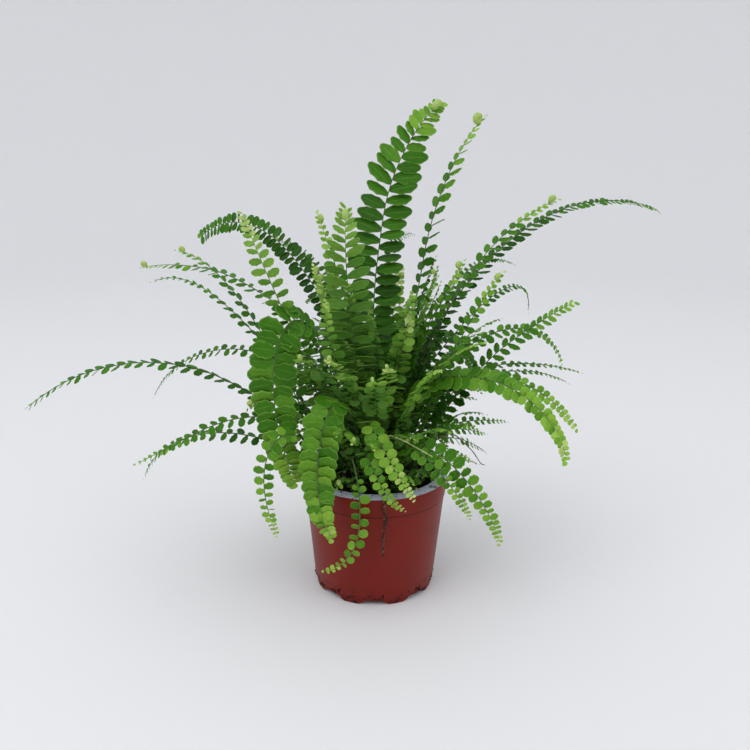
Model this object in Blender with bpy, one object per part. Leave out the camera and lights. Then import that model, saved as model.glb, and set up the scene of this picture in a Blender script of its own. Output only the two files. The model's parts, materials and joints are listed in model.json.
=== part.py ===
# Small-leaved sword fern in a round nursery pot: pot, potting mix, crown, fronds and roots.
# All lengths in the tables are millimetres; MM turns them into metres.
# The pot's axis is Z and its base rests on z = 0. The front of the plant faces -Y.
import math
import random

import bmesh
import bpy
from mathutils import Vector, noise

MM = 0.001

# Nursery pot, formed from one plastic sheet.
POT_HEIGHT = 68.0
RIM_RADIUS = 42.5
BASE_RADIUS = 35.3
SHEET = 0.8
LIP_WIDTH = 6.0
LIP_RISE = 1.2
COLLAR_DEPTH = 10.7
COLLAR_STEP = 0.4
FOOT_HEIGHT = 2.5
FOOT_RING_INNER = 31.0
FOOT_COUNT = 8
FOOT_FLANK = 1.1  # how sharply a foot stands out from the gaps beside it
HEM_HEIGHT = 4.0
HEM_STEP = 0.5
CENTRE_PAD_RADIUS = 9.0
PAD_SLOPE = 3.0
FOOT_SLOPE = 1.5
CORNER = 0.4  # chamfer of the sheet's bends
DRAIN_RADIUS = 3.0
DRAIN_CIRCLE = 23.0
DRAIN_SEGMENTS = 12
POT_SEGMENTS = 48

# Potting mix and the fern's short rhizome.
GAP = 0.3
SOIL_EDGE_HEIGHT = 61.4
SOIL_FLAT_HEIGHT = 62.4
SOIL_FLAT_RADIUS = 20.5
SOIL_LUMP = 0.6
SOIL_LUMP_PITCH = 4.0
SOIL_SEGMENTS = 32
SOIL_TOP_RINGS = 4
CROWN_RADIUS = 19.0
CROWN_HEIGHT = 6.0
CROWN_LUMP = 0.5
CROWN_LUMP_PITCH = 3.3
CROWN_RINGS = 5
CROWN_SEGMENTS = 24

# Fronds: each is a wiry stipe that carries one long narrow blade.
STEM_RADIUS = 0.5
BLADE_THICKNESS = 0.7
FROND_STATIONS = 15
FROND_GAP = 0.4
FOOT_CLEARANCE = 0.7
STIPE_SHARE = 0.16
MIDRIB_SAMPLES = 61
TIP_TAPER = 0.75
OLD_HALF_WIDTH = 9  # the broadest fronds are the old ones
YOUNG_HALF_WIDTH = 5
SWELL_START = 0.1  # how wide the blade begins, and how soon it reaches its full width
SWELL_PACE = 1.6
TANGENT_STEP = 0.01
ROOM_NUDGES = (-0.8, -0.4, 0, 0.4, 0.8)  # places around a station, in stations
ROOT_SIDES = 6
ROOT_STEPS = 3
ROOT_REFERENCE = (0.31, 0.17, 0.93)  # a direction that no root runs along
SHARP_ANGLE = 35  # degrees between faces that keep their edge

# Each visible frond: heading in degrees, distance of its foot from the axis, then the three points
# that steer its midrib, each as (out along the heading, to the left of it, above the ground),
# the blade's half width, and the turn of the blade about its midrib in degrees.
FRONDS = {
    "tall_centre": (35, 3, (0, 0, 135.4), (-20, 0, 230.4), (39, 0, 277.4), 15, 55),
    "tall_right": (24, 10, (27, 0, 133.4), (15, 0, 217.4), (62, 0, 269.4), 8, 10),
    "upright_left": (240, 8, (16, 0, 119.4), (36, 0, 169.4), (34, 0, 221.4), 13, 30),
    "bud_left": (174, 14, (4, 0, 121.4), (15, 0, 170.4), (34, 0, 217.4), 6, -50),
    "dark_arch": (157, 7, (-10, 0, 111.4), (60, 0, 249.4), (118, 0, 200.4), 9, -30),
    "pale_left": (215, 18, (38, 0, 121.4), (61, 0, 170.4), (81, 0, 218.4), 7, 60),
    "far_left_1": (172, 17, (50, 0, 95.4), (70, 0, 187.4), (116, 0, 195.4), 6, -28),
    "far_left_2": (158, 16, (14, 0, 152.4), (87, 0, 195.4), (160, 0, 180.4), 6, -36),
    "far_left_3": (190, 20, (28, 0, 93.4), (83, 0, 199.4), (121, 0, 183.4), 6, -28),
    "long_left": (197, 23, (58, 0, 130.4), (128, 0, 169.4), (188, 0, 119.4), 7, -26),
    "droop_left": (168, 21, (6, 0, 144.4), (113, 0, 160.4), (140, 0, 105.4), 6, -30),
    "low_left_1": (203, 26, (56, 0, 132.4), (88, 0, 111.4), (134, 0, 92.4), 7, -32),
    "low_left_2": (187, 26, (44, 0, 97.4), (121, 0, 111.4), (134, 0, 68.4), 6, -30),
    "broad_left": (222, 15, (44, 0, 234.4), (97, 0, 158.4), (58, 0, 76.4), 13, -60),
    "front_left": (248, 17, (43, 2, 183.4), (74, -19, 89.4), (55, -2, 48.4), 11, -25),
    "hang_left": (228, 24, (74, 0, 144.4), (100, 0, 102.4), (77, 0, 53.4), 5, -50),
    "hang_pot": (258, 23, (58, -18, 141.4), (47, 26, 40.4), (52, -17, 27.4), 5, 0),
    "front_pale": (278, 20, (14, -19, 148.4), (55, -3, 92.4), (53, 14, 72.4), 6, 0),
    "front_small": (269, 26, (38, -12, 127.4), (54, -1, 75.4), (50, 16, 66.4), 5, 0),
    "front_right": (307, 22, (37, -16, 136.4), (82, 17, 74.4), (79, 26, 45.4), 7, 45),
    "front_right_2": (298, 25, (34, -10, 128.4), (68, 10, 83.4), (66, 23, 61.4), 5, 35),
    "right_arch_1": (330, 20, (-19, 0, 149.4), (101, 0, 154.4), (114, 0, 98.4), 8, 40),
    "right_arch_2": (342, 17, (9, 0, 140.4), (80, 0, 152.4), (113, 0, 109.4), 7, 36),
    "right_up_1": (347, 22, (33, 0, 113.4), (67, 0, 150.4), (106, 0, 174.4), 8, 45),
    "right_arch_3": (353, 16, (-9, 0, 104.4), (82, 0, 197.4), (104, 0, 139.4), 7, 34),
    "right_thin_1": (4, 21, (25, 0, 134.4), (73, 0, 142.4), (120, 0, 128.4), 5, 20),
    "right_thin_2": (11, 23, (22, 0, 123.4), (80, 0, 139.4), (118, 0, 118.4), 5, 20),
    "far_right": (16, 13, (12, 0, 149.4), (82, 0, 248.4), (173, 0, 221.4), 7, 34),
    "right_bud_1": (7, 10, (24, 0, 124.4), (41, 0, 200.4), (99, 0, 226.4), 7, 45),
    "right_bud_2": (352, 8, (-1, 0, 119.4), (30, 0, 155.4), (47, 0, 194.4), 6, 45),
    "right_bud_3": (334, 10, (32, 0, 106.4), (45, 0, 154.4), (71, 0, 190.4), 6, 80),
    "back_right_1": (31, 13, (-21, 0, 91.4), (114, 0, 217.4), (112, 0, 155.4), 6, 40),
    "back_right_2": (42, 9, (18, 0, 109.4), (50, 0, 207.4), (118, 0, 183.4), 6, 40),
    "back_centre": (60, 5, (34, 0, 101.4), (-26, 0, 211.4), (40, 0, 205.4), 6, 60),
    "low_right_1": (18, 27, (24, 0, 101.4), (65, 0, 95.4), (84, 0, 92.4), 5, 35),
    "low_right_2": (27, 26, (31, 0, 97.4), (59, 0, 87.4), (77, 0, 81.4), 5, 35),
    "low_right_3": (40, 27, (44, 0, 91.4), (76, 0, 73.4), (96, 0, 59.4), 5, 35),
    "thin_back_left": (125, 10, (-4, 0, 145.4), (58, 0, 190.4), (118, 0, 195.4), 5, -40),
    "front_mid": (208, 23, (6, 0, 124.4), (50, 0, 138.4), (76, 0, 119.4), 7, 60),
    "bud_front": (245, 12, (8, 0, 120.4), (60, 0, 132.4), (60, 0, 177.4), 6, 20),
}

# Fronds whose stipe carries no leaflets for more than the usual share of its length.
BARE_SHARES = {
    "frond_broad_left": 0.44,
    "frond_front_left": 0.34,
    "frond_hang_left": 0.40,
    "frond_hang_pot": 0.40,
    "frond_front_pale": 0.36,
}

# Fronds on the far side, which alternate between three habits: an arch, a low droop and a riser.
BACK_COUNT = 14
BACK_FIRST_HEADING = 57
BACK_LAST_HEADING = 128
BACK_STRETCH = (0.9, 1.1)
BACK_SWAY = 6
BACK_TURN = 20
BACK_HABITS = (
    (20, (26, 0, 155.4), (95, 0, 170.4), (132, 0, 89.4), 9),
    (27, (50, 0, 117.4), (88, 0, 103.4), (98, 0, 51.4), 8),
    (13, (22, 0, 133.4), (52, 0, 181.4), (98, 0, 155.4), 8),
)
BACK_SEED = 7

# Roots that lie on the mix or hang over the rim: points in millimetres and the radius.
ROOTS = {
    "hanging_root": (
        ((4, -27, 64), (4, -33, 67.4), (4, -36, 71), (4.5, -40.5, 70.7), (5, -44.6, 67.4),
         (5.5, -45.2, 59.4), (5, -45, 49.4), (4.5, -45.2, 36.4)),
        1.0,
    ),
    "dry_stipe": (
        ((24, -10, 63.5), (28, -12, 80), (34, -13, 92.5), (43, -15, 97.5), (54, -15, 88.6),
         (62.5, -15, 79)),
        0.5,
    ),
    "runner": (
        ((4, -22, 63.5), (3.5, -23, 84), (6.3, -35, 102), (13, -39, 102.3), (20, -43, 100),
         (27.5, -47, 97), (30, -48.5, 96)),
        0.5,
    ),
}

COLOURS = {
    "terracotta_plastic": (0.155, 0.027, 0.018, 0.45),
    "potting_mix": (0.010, 0.007, 0.005, 0.95),
    "rhizome": (0.055, 0.030, 0.014, 0.90),
    "root": (0.060, 0.028, 0.014, 0.85),
    "leaf_old": (0.030, 0.105, 0.012, 0.50),
    "leaf_mid": (0.070, 0.200, 0.020, 0.48),
    "leaf_young": (0.210, 0.420, 0.060, 0.45),
}


def clear_scene():
    for item in list(bpy.data.objects):
        bpy.data.objects.remove(item, do_unlink=True)


def make_material(name):
    red, green, blue, roughness = COLOURS[name]
    material = bpy.data.materials.get(name) or bpy.data.materials.new(name)
    material.use_nodes = True
    shader = material.node_tree.nodes["Principled BSDF"]
    shader.inputs["Base Color"].default_value = (red, green, blue, 1.0)
    shader.inputs["Roughness"].default_value = roughness
    shader.inputs["Metallic"].default_value = 0.0
    return material


def add_object(name, mesh_builder, material_name):
    mesh = bpy.data.meshes.new(name)
    mesh_builder.to_mesh(mesh)
    mesh_builder.free()
    mesh.shade_smooth()
    mesh.set_sharp_from_angle(angle=math.radians(SHARP_ANGLE))
    mesh.materials.append(make_material(material_name))
    item = bpy.data.objects.new(name, mesh)
    bpy.context.scene.collection.objects.link(item)
    return item


def loft(builder, rings, first_cap, last_cap):
    """Joins closed rings of points in order; a cap is a single point that closes an end."""
    loops = [[builder.verts.new(point) for point in ring] for ring in rings]
    for low, high in zip(loops, loops[1:]):
        count = len(low)
        for index in range(count):
            following = (index + 1) % count
            builder.faces.new((low[index], low[following], high[following], high[index]))
    for loop, cap, flip in ((loops[0], first_cap, True), (loops[-1], last_cap, False)):
        pole = builder.verts.new(cap)
        for index, vertex in enumerate(loop):
            following = loop[(index + 1) % len(loop)]
            corners = (pole, following, vertex) if flip else (pole, vertex, following)
            builder.faces.new(corners)
    bmesh.ops.recalc_face_normals(builder, faces=builder.faces[:])


def wall_radius(height):
    """Outer radius of the pot's tapered wall, without the collar's step."""
    return BASE_RADIUS + (RIM_RADIUS - COLLAR_STEP - BASE_RADIUS) * height / POT_HEIGHT


def foot_lift(angle):
    """Height of the underside of the base ring: 0 on a foot, FOOT_HEIGHT in a gap between feet."""
    swing = math.cos(FOOT_COUNT * (angle + math.radians(90)))
    share = min(1.0, max(0.0, 0.5 + FOOT_FLANK * swing))
    return FOOT_HEIGHT * share


def pot_profile(angle):
    """Section of the pot at one angle, as (radius, height) from the underside to the floor inside."""
    lift = foot_lift(angle)
    collar_low = POT_HEIGHT - COLLAR_DEPTH
    lip_inner = RIM_RADIUS - LIP_WIDTH
    lip_top = POT_HEIGHT + LIP_RISE
    inner_step = wall_radius(collar_low) - SHEET
    floor_edge = FOOT_RING_INNER + 2 * SHEET
    hem_radius = BASE_RADIUS - HEM_STEP
    step_radius = wall_radius(collar_low) + COLLAR_STEP
    return (
        (CENTRE_PAD_RADIUS, 0.0),
        (CENTRE_PAD_RADIUS + PAD_SLOPE, FOOT_HEIGHT),
        (FOOT_RING_INNER - FOOT_SLOPE, FOOT_HEIGHT),
        (FOOT_RING_INNER, lift),
        (hem_radius - CORNER, lift),
        (hem_radius, lift + CORNER),
        (hem_radius, HEM_HEIGHT),
        (wall_radius(HEM_HEIGHT), HEM_HEIGHT + CORNER),
        (wall_radius(collar_low), collar_low - CORNER),
        (step_radius, collar_low),
        (RIM_RADIUS, POT_HEIGHT - CORNER),
        (RIM_RADIUS - CORNER, POT_HEIGHT),
        (lip_inner + CORNER, lip_top),
        (lip_inner, lip_top - SHEET / 2),
        (lip_inner + CORNER, lip_top - SHEET),
        (RIM_RADIUS - SHEET - CORNER, POT_HEIGHT - SHEET - CORNER),
        (step_radius - SHEET, collar_low + SHEET),
        (inner_step, collar_low),
        (wall_radius(HEM_HEIGHT) - SHEET, HEM_HEIGHT + SHEET),
        (floor_edge, FOOT_HEIGHT + SHEET),
        (CENTRE_PAD_RADIUS + PAD_SLOPE, FOOT_HEIGHT + SHEET),
        (CENTRE_PAD_RADIUS, SHEET),
    )


def add_pot():
    steps = len(pot_profile(0.0))
    rings = []
    for step in range(steps):
        ring = []
        for index in range(POT_SEGMENTS):
            angle = math.tau * index / POT_SEGMENTS
            radius, height = pot_profile(angle)[step]
            ring.append(Vector((radius * math.cos(angle), radius * math.sin(angle), height)) * MM)
        rings.append(ring)
    builder = bmesh.new()
    loft(builder, rings, Vector((0, 0, 0)), Vector((0, 0, SHEET * MM)))
    pot = add_object("nursery_pot", builder, "terracotta_plastic")
    holes = pot.modifiers.new("drainage", "BOOLEAN")
    holes.operation = "DIFFERENCE"
    holes.solver = "EXACT"
    holes.object = add_drain_cutter()
    return pot


def add_drain_cutter():
    """Eight upright pins, one between each pair of feet, that cut the drainage holes."""
    builder = bmesh.new()
    for index in range(FOOT_COUNT):
        angle = math.tau * (index + 0.5) / FOOT_COUNT
        pin = bmesh.ops.create_cone(
            builder,
            cap_ends=True,
            segments=DRAIN_SEGMENTS,
            radius1=DRAIN_RADIUS * MM,
            radius2=DRAIN_RADIUS * MM,
            depth=6 * SHEET * MM,
        )
        place = Vector((math.cos(angle), math.sin(angle), 0)) * DRAIN_CIRCLE
        place.z = FOOT_HEIGHT + SHEET / 2
        bmesh.ops.translate(builder, verts=pin["verts"], vec=place * MM)
    cutter = add_object("drain_cutter", builder, "terracotta_plastic")
    cutter.hide_render = True
    cutter.display_type = "WIRE"
    return cutter


def soil_height(x, y):
    """Top of the potting mix: level under the crown, then falling and lumpy out to the wall."""
    radius = math.hypot(x, y)
    if radius < SOIL_FLAT_RADIUS:
        return SOIL_FLAT_HEIGHT
    share = (radius - SOIL_FLAT_RADIUS) / (RIM_RADIUS - SOIL_FLAT_RADIUS)
    swell = math.sin(math.pi * min(1.0, share))
    lump = SOIL_LUMP * noise.noise(Vector((x, y, 0)) / SOIL_LUMP_PITCH) * swell
    return SOIL_FLAT_HEIGHT + (SOIL_EDGE_HEIGHT - SOIL_FLAT_HEIGHT) * share + lump


def crown_height(x, y):
    """Top of the rhizome's low dome, or nothing beyond its edge."""
    radius = math.hypot(x, y)
    if radius >= CROWN_RADIUS:
        return 0.0
    dome = math.sqrt(1 - (radius / CROWN_RADIUS) ** 2)
    lump = CROWN_LUMP * noise.noise(Vector((x, y, 9)) / CROWN_LUMP_PITCH) * dome
    return SOIL_FLAT_HEIGHT + GAP + CROWN_HEIGHT * dome + lump


def ring_at(radius, height_of, segments):
    points = []
    for index in range(segments):
        angle = math.tau * index / segments
        x = radius * math.cos(angle)
        y = radius * math.sin(angle)
        points.append(Vector((x, y, height_of(x, y))) * MM)
    return points


def add_potting_mix():
    collar_low = POT_HEIGHT - COLLAR_DEPTH
    bottom = FOOT_HEIGHT + SHEET + GAP
    floor_edge = FOOT_RING_INNER + SHEET
    below = wall_radius(HEM_HEIGHT + SHEET) - SHEET - GAP
    above = wall_radius(collar_low - SHEET) - SHEET - GAP
    sides = ((floor_edge, bottom), (below, HEM_HEIGHT + 2 * SHEET), (above, collar_low - SHEET))
    rings = [ring_at(r, lambda x, y, z=z: z, SOIL_SEGMENTS) for r, z in sides]
    for step in range(SOIL_TOP_RINGS + 1):
        radius = above + (SOIL_FLAT_RADIUS - above) * step / SOIL_TOP_RINGS
        rings.append(ring_at(radius, soil_height, SOIL_SEGMENTS))
    builder = bmesh.new()
    loft(builder, rings, Vector((0, 0, bottom * MM)), Vector((0, 0, SOIL_FLAT_HEIGHT * MM)))
    return add_object("potting_mix", builder, "potting_mix")


def add_crown():
    floor = SOIL_FLAT_HEIGHT + GAP
    rings = [ring_at(CROWN_RADIUS - CORNER, lambda x, y: floor, CROWN_SEGMENTS)]
    for step in range(CROWN_RINGS):
        radius = (CROWN_RADIUS - CORNER / 2) * math.cos(math.pi / 2 * step / CROWN_RINGS)
        rings.append(ring_at(radius, crown_height, CROWN_SEGMENTS))
    builder = bmesh.new()
    top = crown_height(0.0, 0.0)
    loft(builder, rings, Vector((0, 0, floor * MM)), Vector((0, 0, top * MM)))
    return add_object("crown", builder, "rhizome")


class Frond:
    """Midrib, width and facing of one frond, in millimetres."""

    def __init__(self, name, heading, foot, bends, half_width, turn):
        self.name = name
        angle = math.radians(heading)
        self.out = Vector((math.cos(angle), math.sin(angle), 0))
        self.side = Vector((-math.sin(angle), math.cos(angle), 0))
        self.half_width = half_width
        self.bare_share = BARE_SHARES.get(name, STIPE_SHARE)
        self.turn = math.radians(turn)
        x = foot * self.out.x
        y = foot * self.out.y
        base = Vector((x, y, max(soil_height(x, y), crown_height(x, y)) + FOOT_CLEARANCE))
        points = [self.out * out + self.side * left + Vector((0, 0, up)) for out, left, up in bends]
        self.controls = [base] + points
        self.stations = [self.point(s / (FROND_STATIONS - 1)) for s in range(FROND_STATIONS)]

    def point(self, share):
        rest = 1 - share
        weights = (rest**3, 3 * rest**2 * share, 3 * rest * share**2, share**3)
        return sum((w * p for w, p in zip(weights, self.controls)), Vector())

    def along(self, share):
        after = self.point(min(1.0, share + TANGENT_STEP))
        return (after - self.point(max(0.0, share - TANGENT_STEP))).normalized()

    def across(self, share):
        """Unit vector along the blade's width, turned about the midrib."""
        along = self.along(share)
        flat = (self.side - self.side.dot(along) * along).normalized()
        normal = along.cross(flat)
        return flat * math.cos(self.turn) + normal * math.sin(self.turn)

    def blade_width(self, share):
        """Half width of the whole blade: bare stipe, quick widening, long taper to the tip."""
        if share < self.bare_share:
            return STEM_RADIUS
        length = (share - self.bare_share) / (1 - self.bare_share)
        swell = math.sin(math.pi / 2 * min(1.0, SWELL_START + SWELL_PACE * length))
        taper = 1 - TIP_TAPER * length**3
        return max(STEM_RADIUS, self.half_width * swell * taper)


def list_fronds():
    fronds = []
    for name, (heading, foot, first, second, tip, half_width, turn) in FRONDS.items():
        fronds.append(Frond("frond_" + name, heading, foot, (first, second, tip), half_width, turn))
    chance = random.Random(BACK_SEED)
    for index in range(BACK_COUNT):
        foot, first, second, tip, half_width = BACK_HABITS[index % len(BACK_HABITS)]
        share = index / (BACK_COUNT - 1)
        heading = BACK_FIRST_HEADING + (BACK_LAST_HEADING - BACK_FIRST_HEADING) * share
        stretch = chance.uniform(*BACK_STRETCH)
        bends = []
        for out, _, up in (first, second, tip):
            bends.append((out * stretch, chance.uniform(-BACK_SWAY, BACK_SWAY), up))
        name = f"frond_back_{index + 1:02d}"
        turn = chance.uniform(-BACK_TURN, BACK_TURN)
        fronds.append(Frond(name, heading, foot, bends, half_width, turn))
    return fronds


def room_beside(frond, index, others):
    """Half width that leaves every neighbour half of the space, from the last station to the next."""
    nearest = math.inf
    for nudge in ROOM_NUDGES:
        share = min(1.0, max(0.0, (index + nudge) / (FROND_STATIONS - 1)))
        here = frond.point(share)
        nearest = min(nearest, min((here - point).length for other in others for point in other))
    return (nearest - FROND_GAP) / 2


def frond_material(frond):
    if frond.half_width >= OLD_HALF_WIDTH:
        return "leaf_old"
    return "leaf_mid" if frond.half_width > YOUNG_HALF_WIDTH else "leaf_young"


def add_frond(frond, midribs):
    others = [points for name, points in midribs.items() if name != frond.name]
    rings = []
    for index in range(FROND_STATIONS):
        share = index / (FROND_STATIONS - 1)
        room = room_beside(frond, index, others)
        width = max(STEM_RADIUS, min(frond.blade_width(share), room))
        across = frond.across(share) * width
        normal = frond.along(share).cross(frond.across(share)) * max(BLADE_THICKNESS / 2, STEM_RADIUS)
        centre = frond.stations[index]
        ring = (centre + across, centre + normal, centre - across, centre - normal)
        rings.append([point * MM for point in ring])
    start = frond.stations[0] - frond.along(0) * STEM_RADIUS / 5
    end = frond.stations[-1] + frond.along(1) * 2 * STEM_RADIUS
    builder = bmesh.new()
    loft(builder, rings, start * MM, end * MM)
    return add_object(frond.name, builder, frond_material(frond))


def smooth_path(points, steps):
    """Points on a Catmull-Rom curve through the given ones."""
    path = []
    padded = [points[0]] + list(points) + [points[-1]]
    for p0, p1, p2, p3 in zip(padded, padded[1:], padded[2:], padded[3:]):
        for step in range(steps):
            t = step / steps
            path.append(
                0.5 * (2 * p1 + (p2 - p0) * t + (2 * p0 - 5 * p1 + 4 * p2 - p3) * t**2
                       + (3 * p1 - p0 - 3 * p2 + p3) * t**3)
            )
    path.append(points[-1])
    return path


def add_root(name, points, radius):
    path = smooth_path([Vector(point) for point in points], ROOT_STEPS)
    rings = []
    for index, centre in enumerate(path):
        before = path[max(0, index - 1)]
        after = path[min(len(path) - 1, index + 1)]
        along = (after - before).normalized()
        side = along.cross(Vector(ROOT_REFERENCE)).normalized()
        up = along.cross(side)
        turns = [math.tau * step / ROOT_SIDES for step in range(ROOT_SIDES)]
        rings.append([(centre + radius * (side * math.cos(a) + up * math.sin(a))) * MM for a in turns])
    builder = bmesh.new()
    loft(builder, rings, path[0] * MM, path[-1] * MM)
    return add_object(name, builder, "root")


def main():
    clear_scene()
    add_pot()
    add_potting_mix()
    add_crown()
    fronds = list_fronds()
    shares = [step / (MIDRIB_SAMPLES - 1) for step in range(MIDRIB_SAMPLES)]
    midribs = {frond.name: [frond.point(share) for share in shares] for frond in fronds}
    for frond in fronds:
        add_frond(frond, midribs)
    for name, (points, radius) in ROOTS.items():
        add_root(name, points, radius)


main()
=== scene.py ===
import json
import math
import random

import bmesh
import bpy
from mathutils import Matrix, Vector, noise


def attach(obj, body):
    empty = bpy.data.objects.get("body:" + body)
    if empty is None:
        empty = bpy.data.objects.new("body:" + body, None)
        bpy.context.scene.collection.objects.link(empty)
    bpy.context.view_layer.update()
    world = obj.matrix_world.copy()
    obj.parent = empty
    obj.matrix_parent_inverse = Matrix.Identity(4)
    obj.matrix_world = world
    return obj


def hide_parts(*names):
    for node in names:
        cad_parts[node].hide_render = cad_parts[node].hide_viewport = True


# without a seed the wandering of the fronds would differ from run to run
noise.seed_set(7)
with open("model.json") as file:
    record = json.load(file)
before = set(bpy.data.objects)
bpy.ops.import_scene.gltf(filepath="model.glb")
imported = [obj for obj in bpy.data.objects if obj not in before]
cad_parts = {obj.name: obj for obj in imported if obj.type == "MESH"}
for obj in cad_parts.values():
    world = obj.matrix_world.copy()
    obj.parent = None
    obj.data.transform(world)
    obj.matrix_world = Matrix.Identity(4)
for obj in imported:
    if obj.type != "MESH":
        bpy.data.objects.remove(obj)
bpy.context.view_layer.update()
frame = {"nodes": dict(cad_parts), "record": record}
nodes = frame["nodes"]
mm = 0.001
print("frame loaded:", len(nodes), "solids")


def toLinear(hexColour):
    # sRGB hex to the linear values that shaders take
    channels = [int(hexColour[i:i + 2], 16) / 255 for i in (1, 3, 5)]
    linear = [c / 12.92 if c <= 0.04045 else ((c + 0.055) / 1.055) ** 2.4 for c in channels]
    return (*linear, 1.0)


def setInputs(tree, node, values):
    # a value is either a plain one or a socket to link
    for key, value in values.items():
        if isinstance(value, bpy.types.NodeSocket):
            tree.links.new(value, node.inputs[key])
        else:
            node.inputs[key].default_value = value


def addNode(tree, kind, settings=None, values=None):
    # settings are the node's own properties, values its inputs
    node = tree.nodes.new(kind)
    for name, value in (settings or {}).items():
        setattr(node, name, value)
    setInputs(tree, node, values or {})
    return node


def newMaterial(name):
    material = bpy.data.materials.new(name)
    material.use_nodes = True
    tree = material.node_tree
    return material, tree, tree.nodes["Principled BSDF"]


def addObject(name, mesh):
    item = bpy.data.objects.new(name, mesh)
    bpy.context.scene.collection.objects.link(item)
    return item


def meshFrom(name, points, faces, materials=(), smooth=True):
    mesh = bpy.data.meshes.new(name)
    mesh.from_pydata([tuple(p) for p in points], [], faces)
    for material in materials:
        mesh.materials.append(material)
    if smooth:
        mesh.shade_smooth()
    return mesh


def turnOutward(mesh):
    builder = bmesh.new()
    builder.from_mesh(mesh)
    bmesh.ops.recalc_face_normals(builder, faces=builder.faces[:])
    builder.to_mesh(mesh)
    builder.free()


def addLayer(mesh, name, values, kind="FLOAT"):
    layer = mesh.attributes.new(name, kind, "POINT")
    layer.data.foreach_set("value" if kind == "FLOAT" else "vector", values)


def onCircle(radius, angle):
    return radius * math.cos(angle), radius * math.sin(angle)


def closedRings(rings, segments, start=0):
    # faces of a skin over rings of points, from point number start on, with both ends closed
    faces = []
    for ring in range(rings - 1):
        for index in range(segments):
            a = start + ring * segments + index
            b = start + ring * segments + (index + 1) % segments
            faces.append((a, b, b + segments, a + segments))
    last = start + (rings - 1) * segments
    faces.append(tuple(start + index for index in reversed(range(segments))))
    faces.append(tuple(last + index for index in range(segments)))
    return faces


def bakeModifiers(item, name):
    # turns an object with live modifiers into a plain mesh object at the origin
    bpy.context.view_layer.update()
    graph = bpy.context.evaluated_depsgraph_get()
    mesh = bpy.data.meshes.new_from_object(item.evaluated_get(graph))
    bpy.data.objects.remove(item, do_unlink=True)
    mesh.name = name
    return addObject(name, mesh)


def hand(piece, slotName, *replaced):
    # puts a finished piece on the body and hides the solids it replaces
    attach(piece, "root")
    if replaced:
        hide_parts(*replaced)
    return piece


def newGroup(name, inputs):
    # a geometry node group with named inputs, and the sockets that give them
    tree = bpy.data.node_groups.new(name, "GeometryNodeTree")
    tree.interface.new_socket("Geometry", in_out="OUTPUT", socket_type="NodeSocketGeometry")
    for inputName, kind in (("Geometry", "Geometry"), *inputs):
        tree.interface.new_socket(inputName, in_out="INPUT", socket_type="NodeSocket" + kind)
    return tree, addNode(tree, "NodeGroupInput").outputs


def bakeGroup(item, name, tree, inputs):
    # runs a node group on an object and keeps the result as a plain mesh object
    modifier = item.modifiers.new(tree.name, "NODES")
    modifier.node_group = tree
    for socket in tree.interface.items_tree:
        if socket.in_out == "INPUT" and socket.name in inputs:
            modifier[socket.identifier] = inputs[socket.name]
    return bakeModifiers(item, name)


leafLook = {
    "oldBlade": "#133D04",      # shaded, mature leaflets
    "midBlade": "#3D7510",
    "freshBlade": "#86B23A",
    "budBlade": "#CFE08C",      # just unrolled
    "margin": "#A3CC5E",        # thin pale rim of each leaflet
    "underside": "#6F964A",
    "marginShare": 0.55,
    "veinShare": 0.14,
    "underShare": 0.32,
    "roughness": 0.50,
    "sheen": 0.17,              # a matt cuticle reflects little
}


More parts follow.
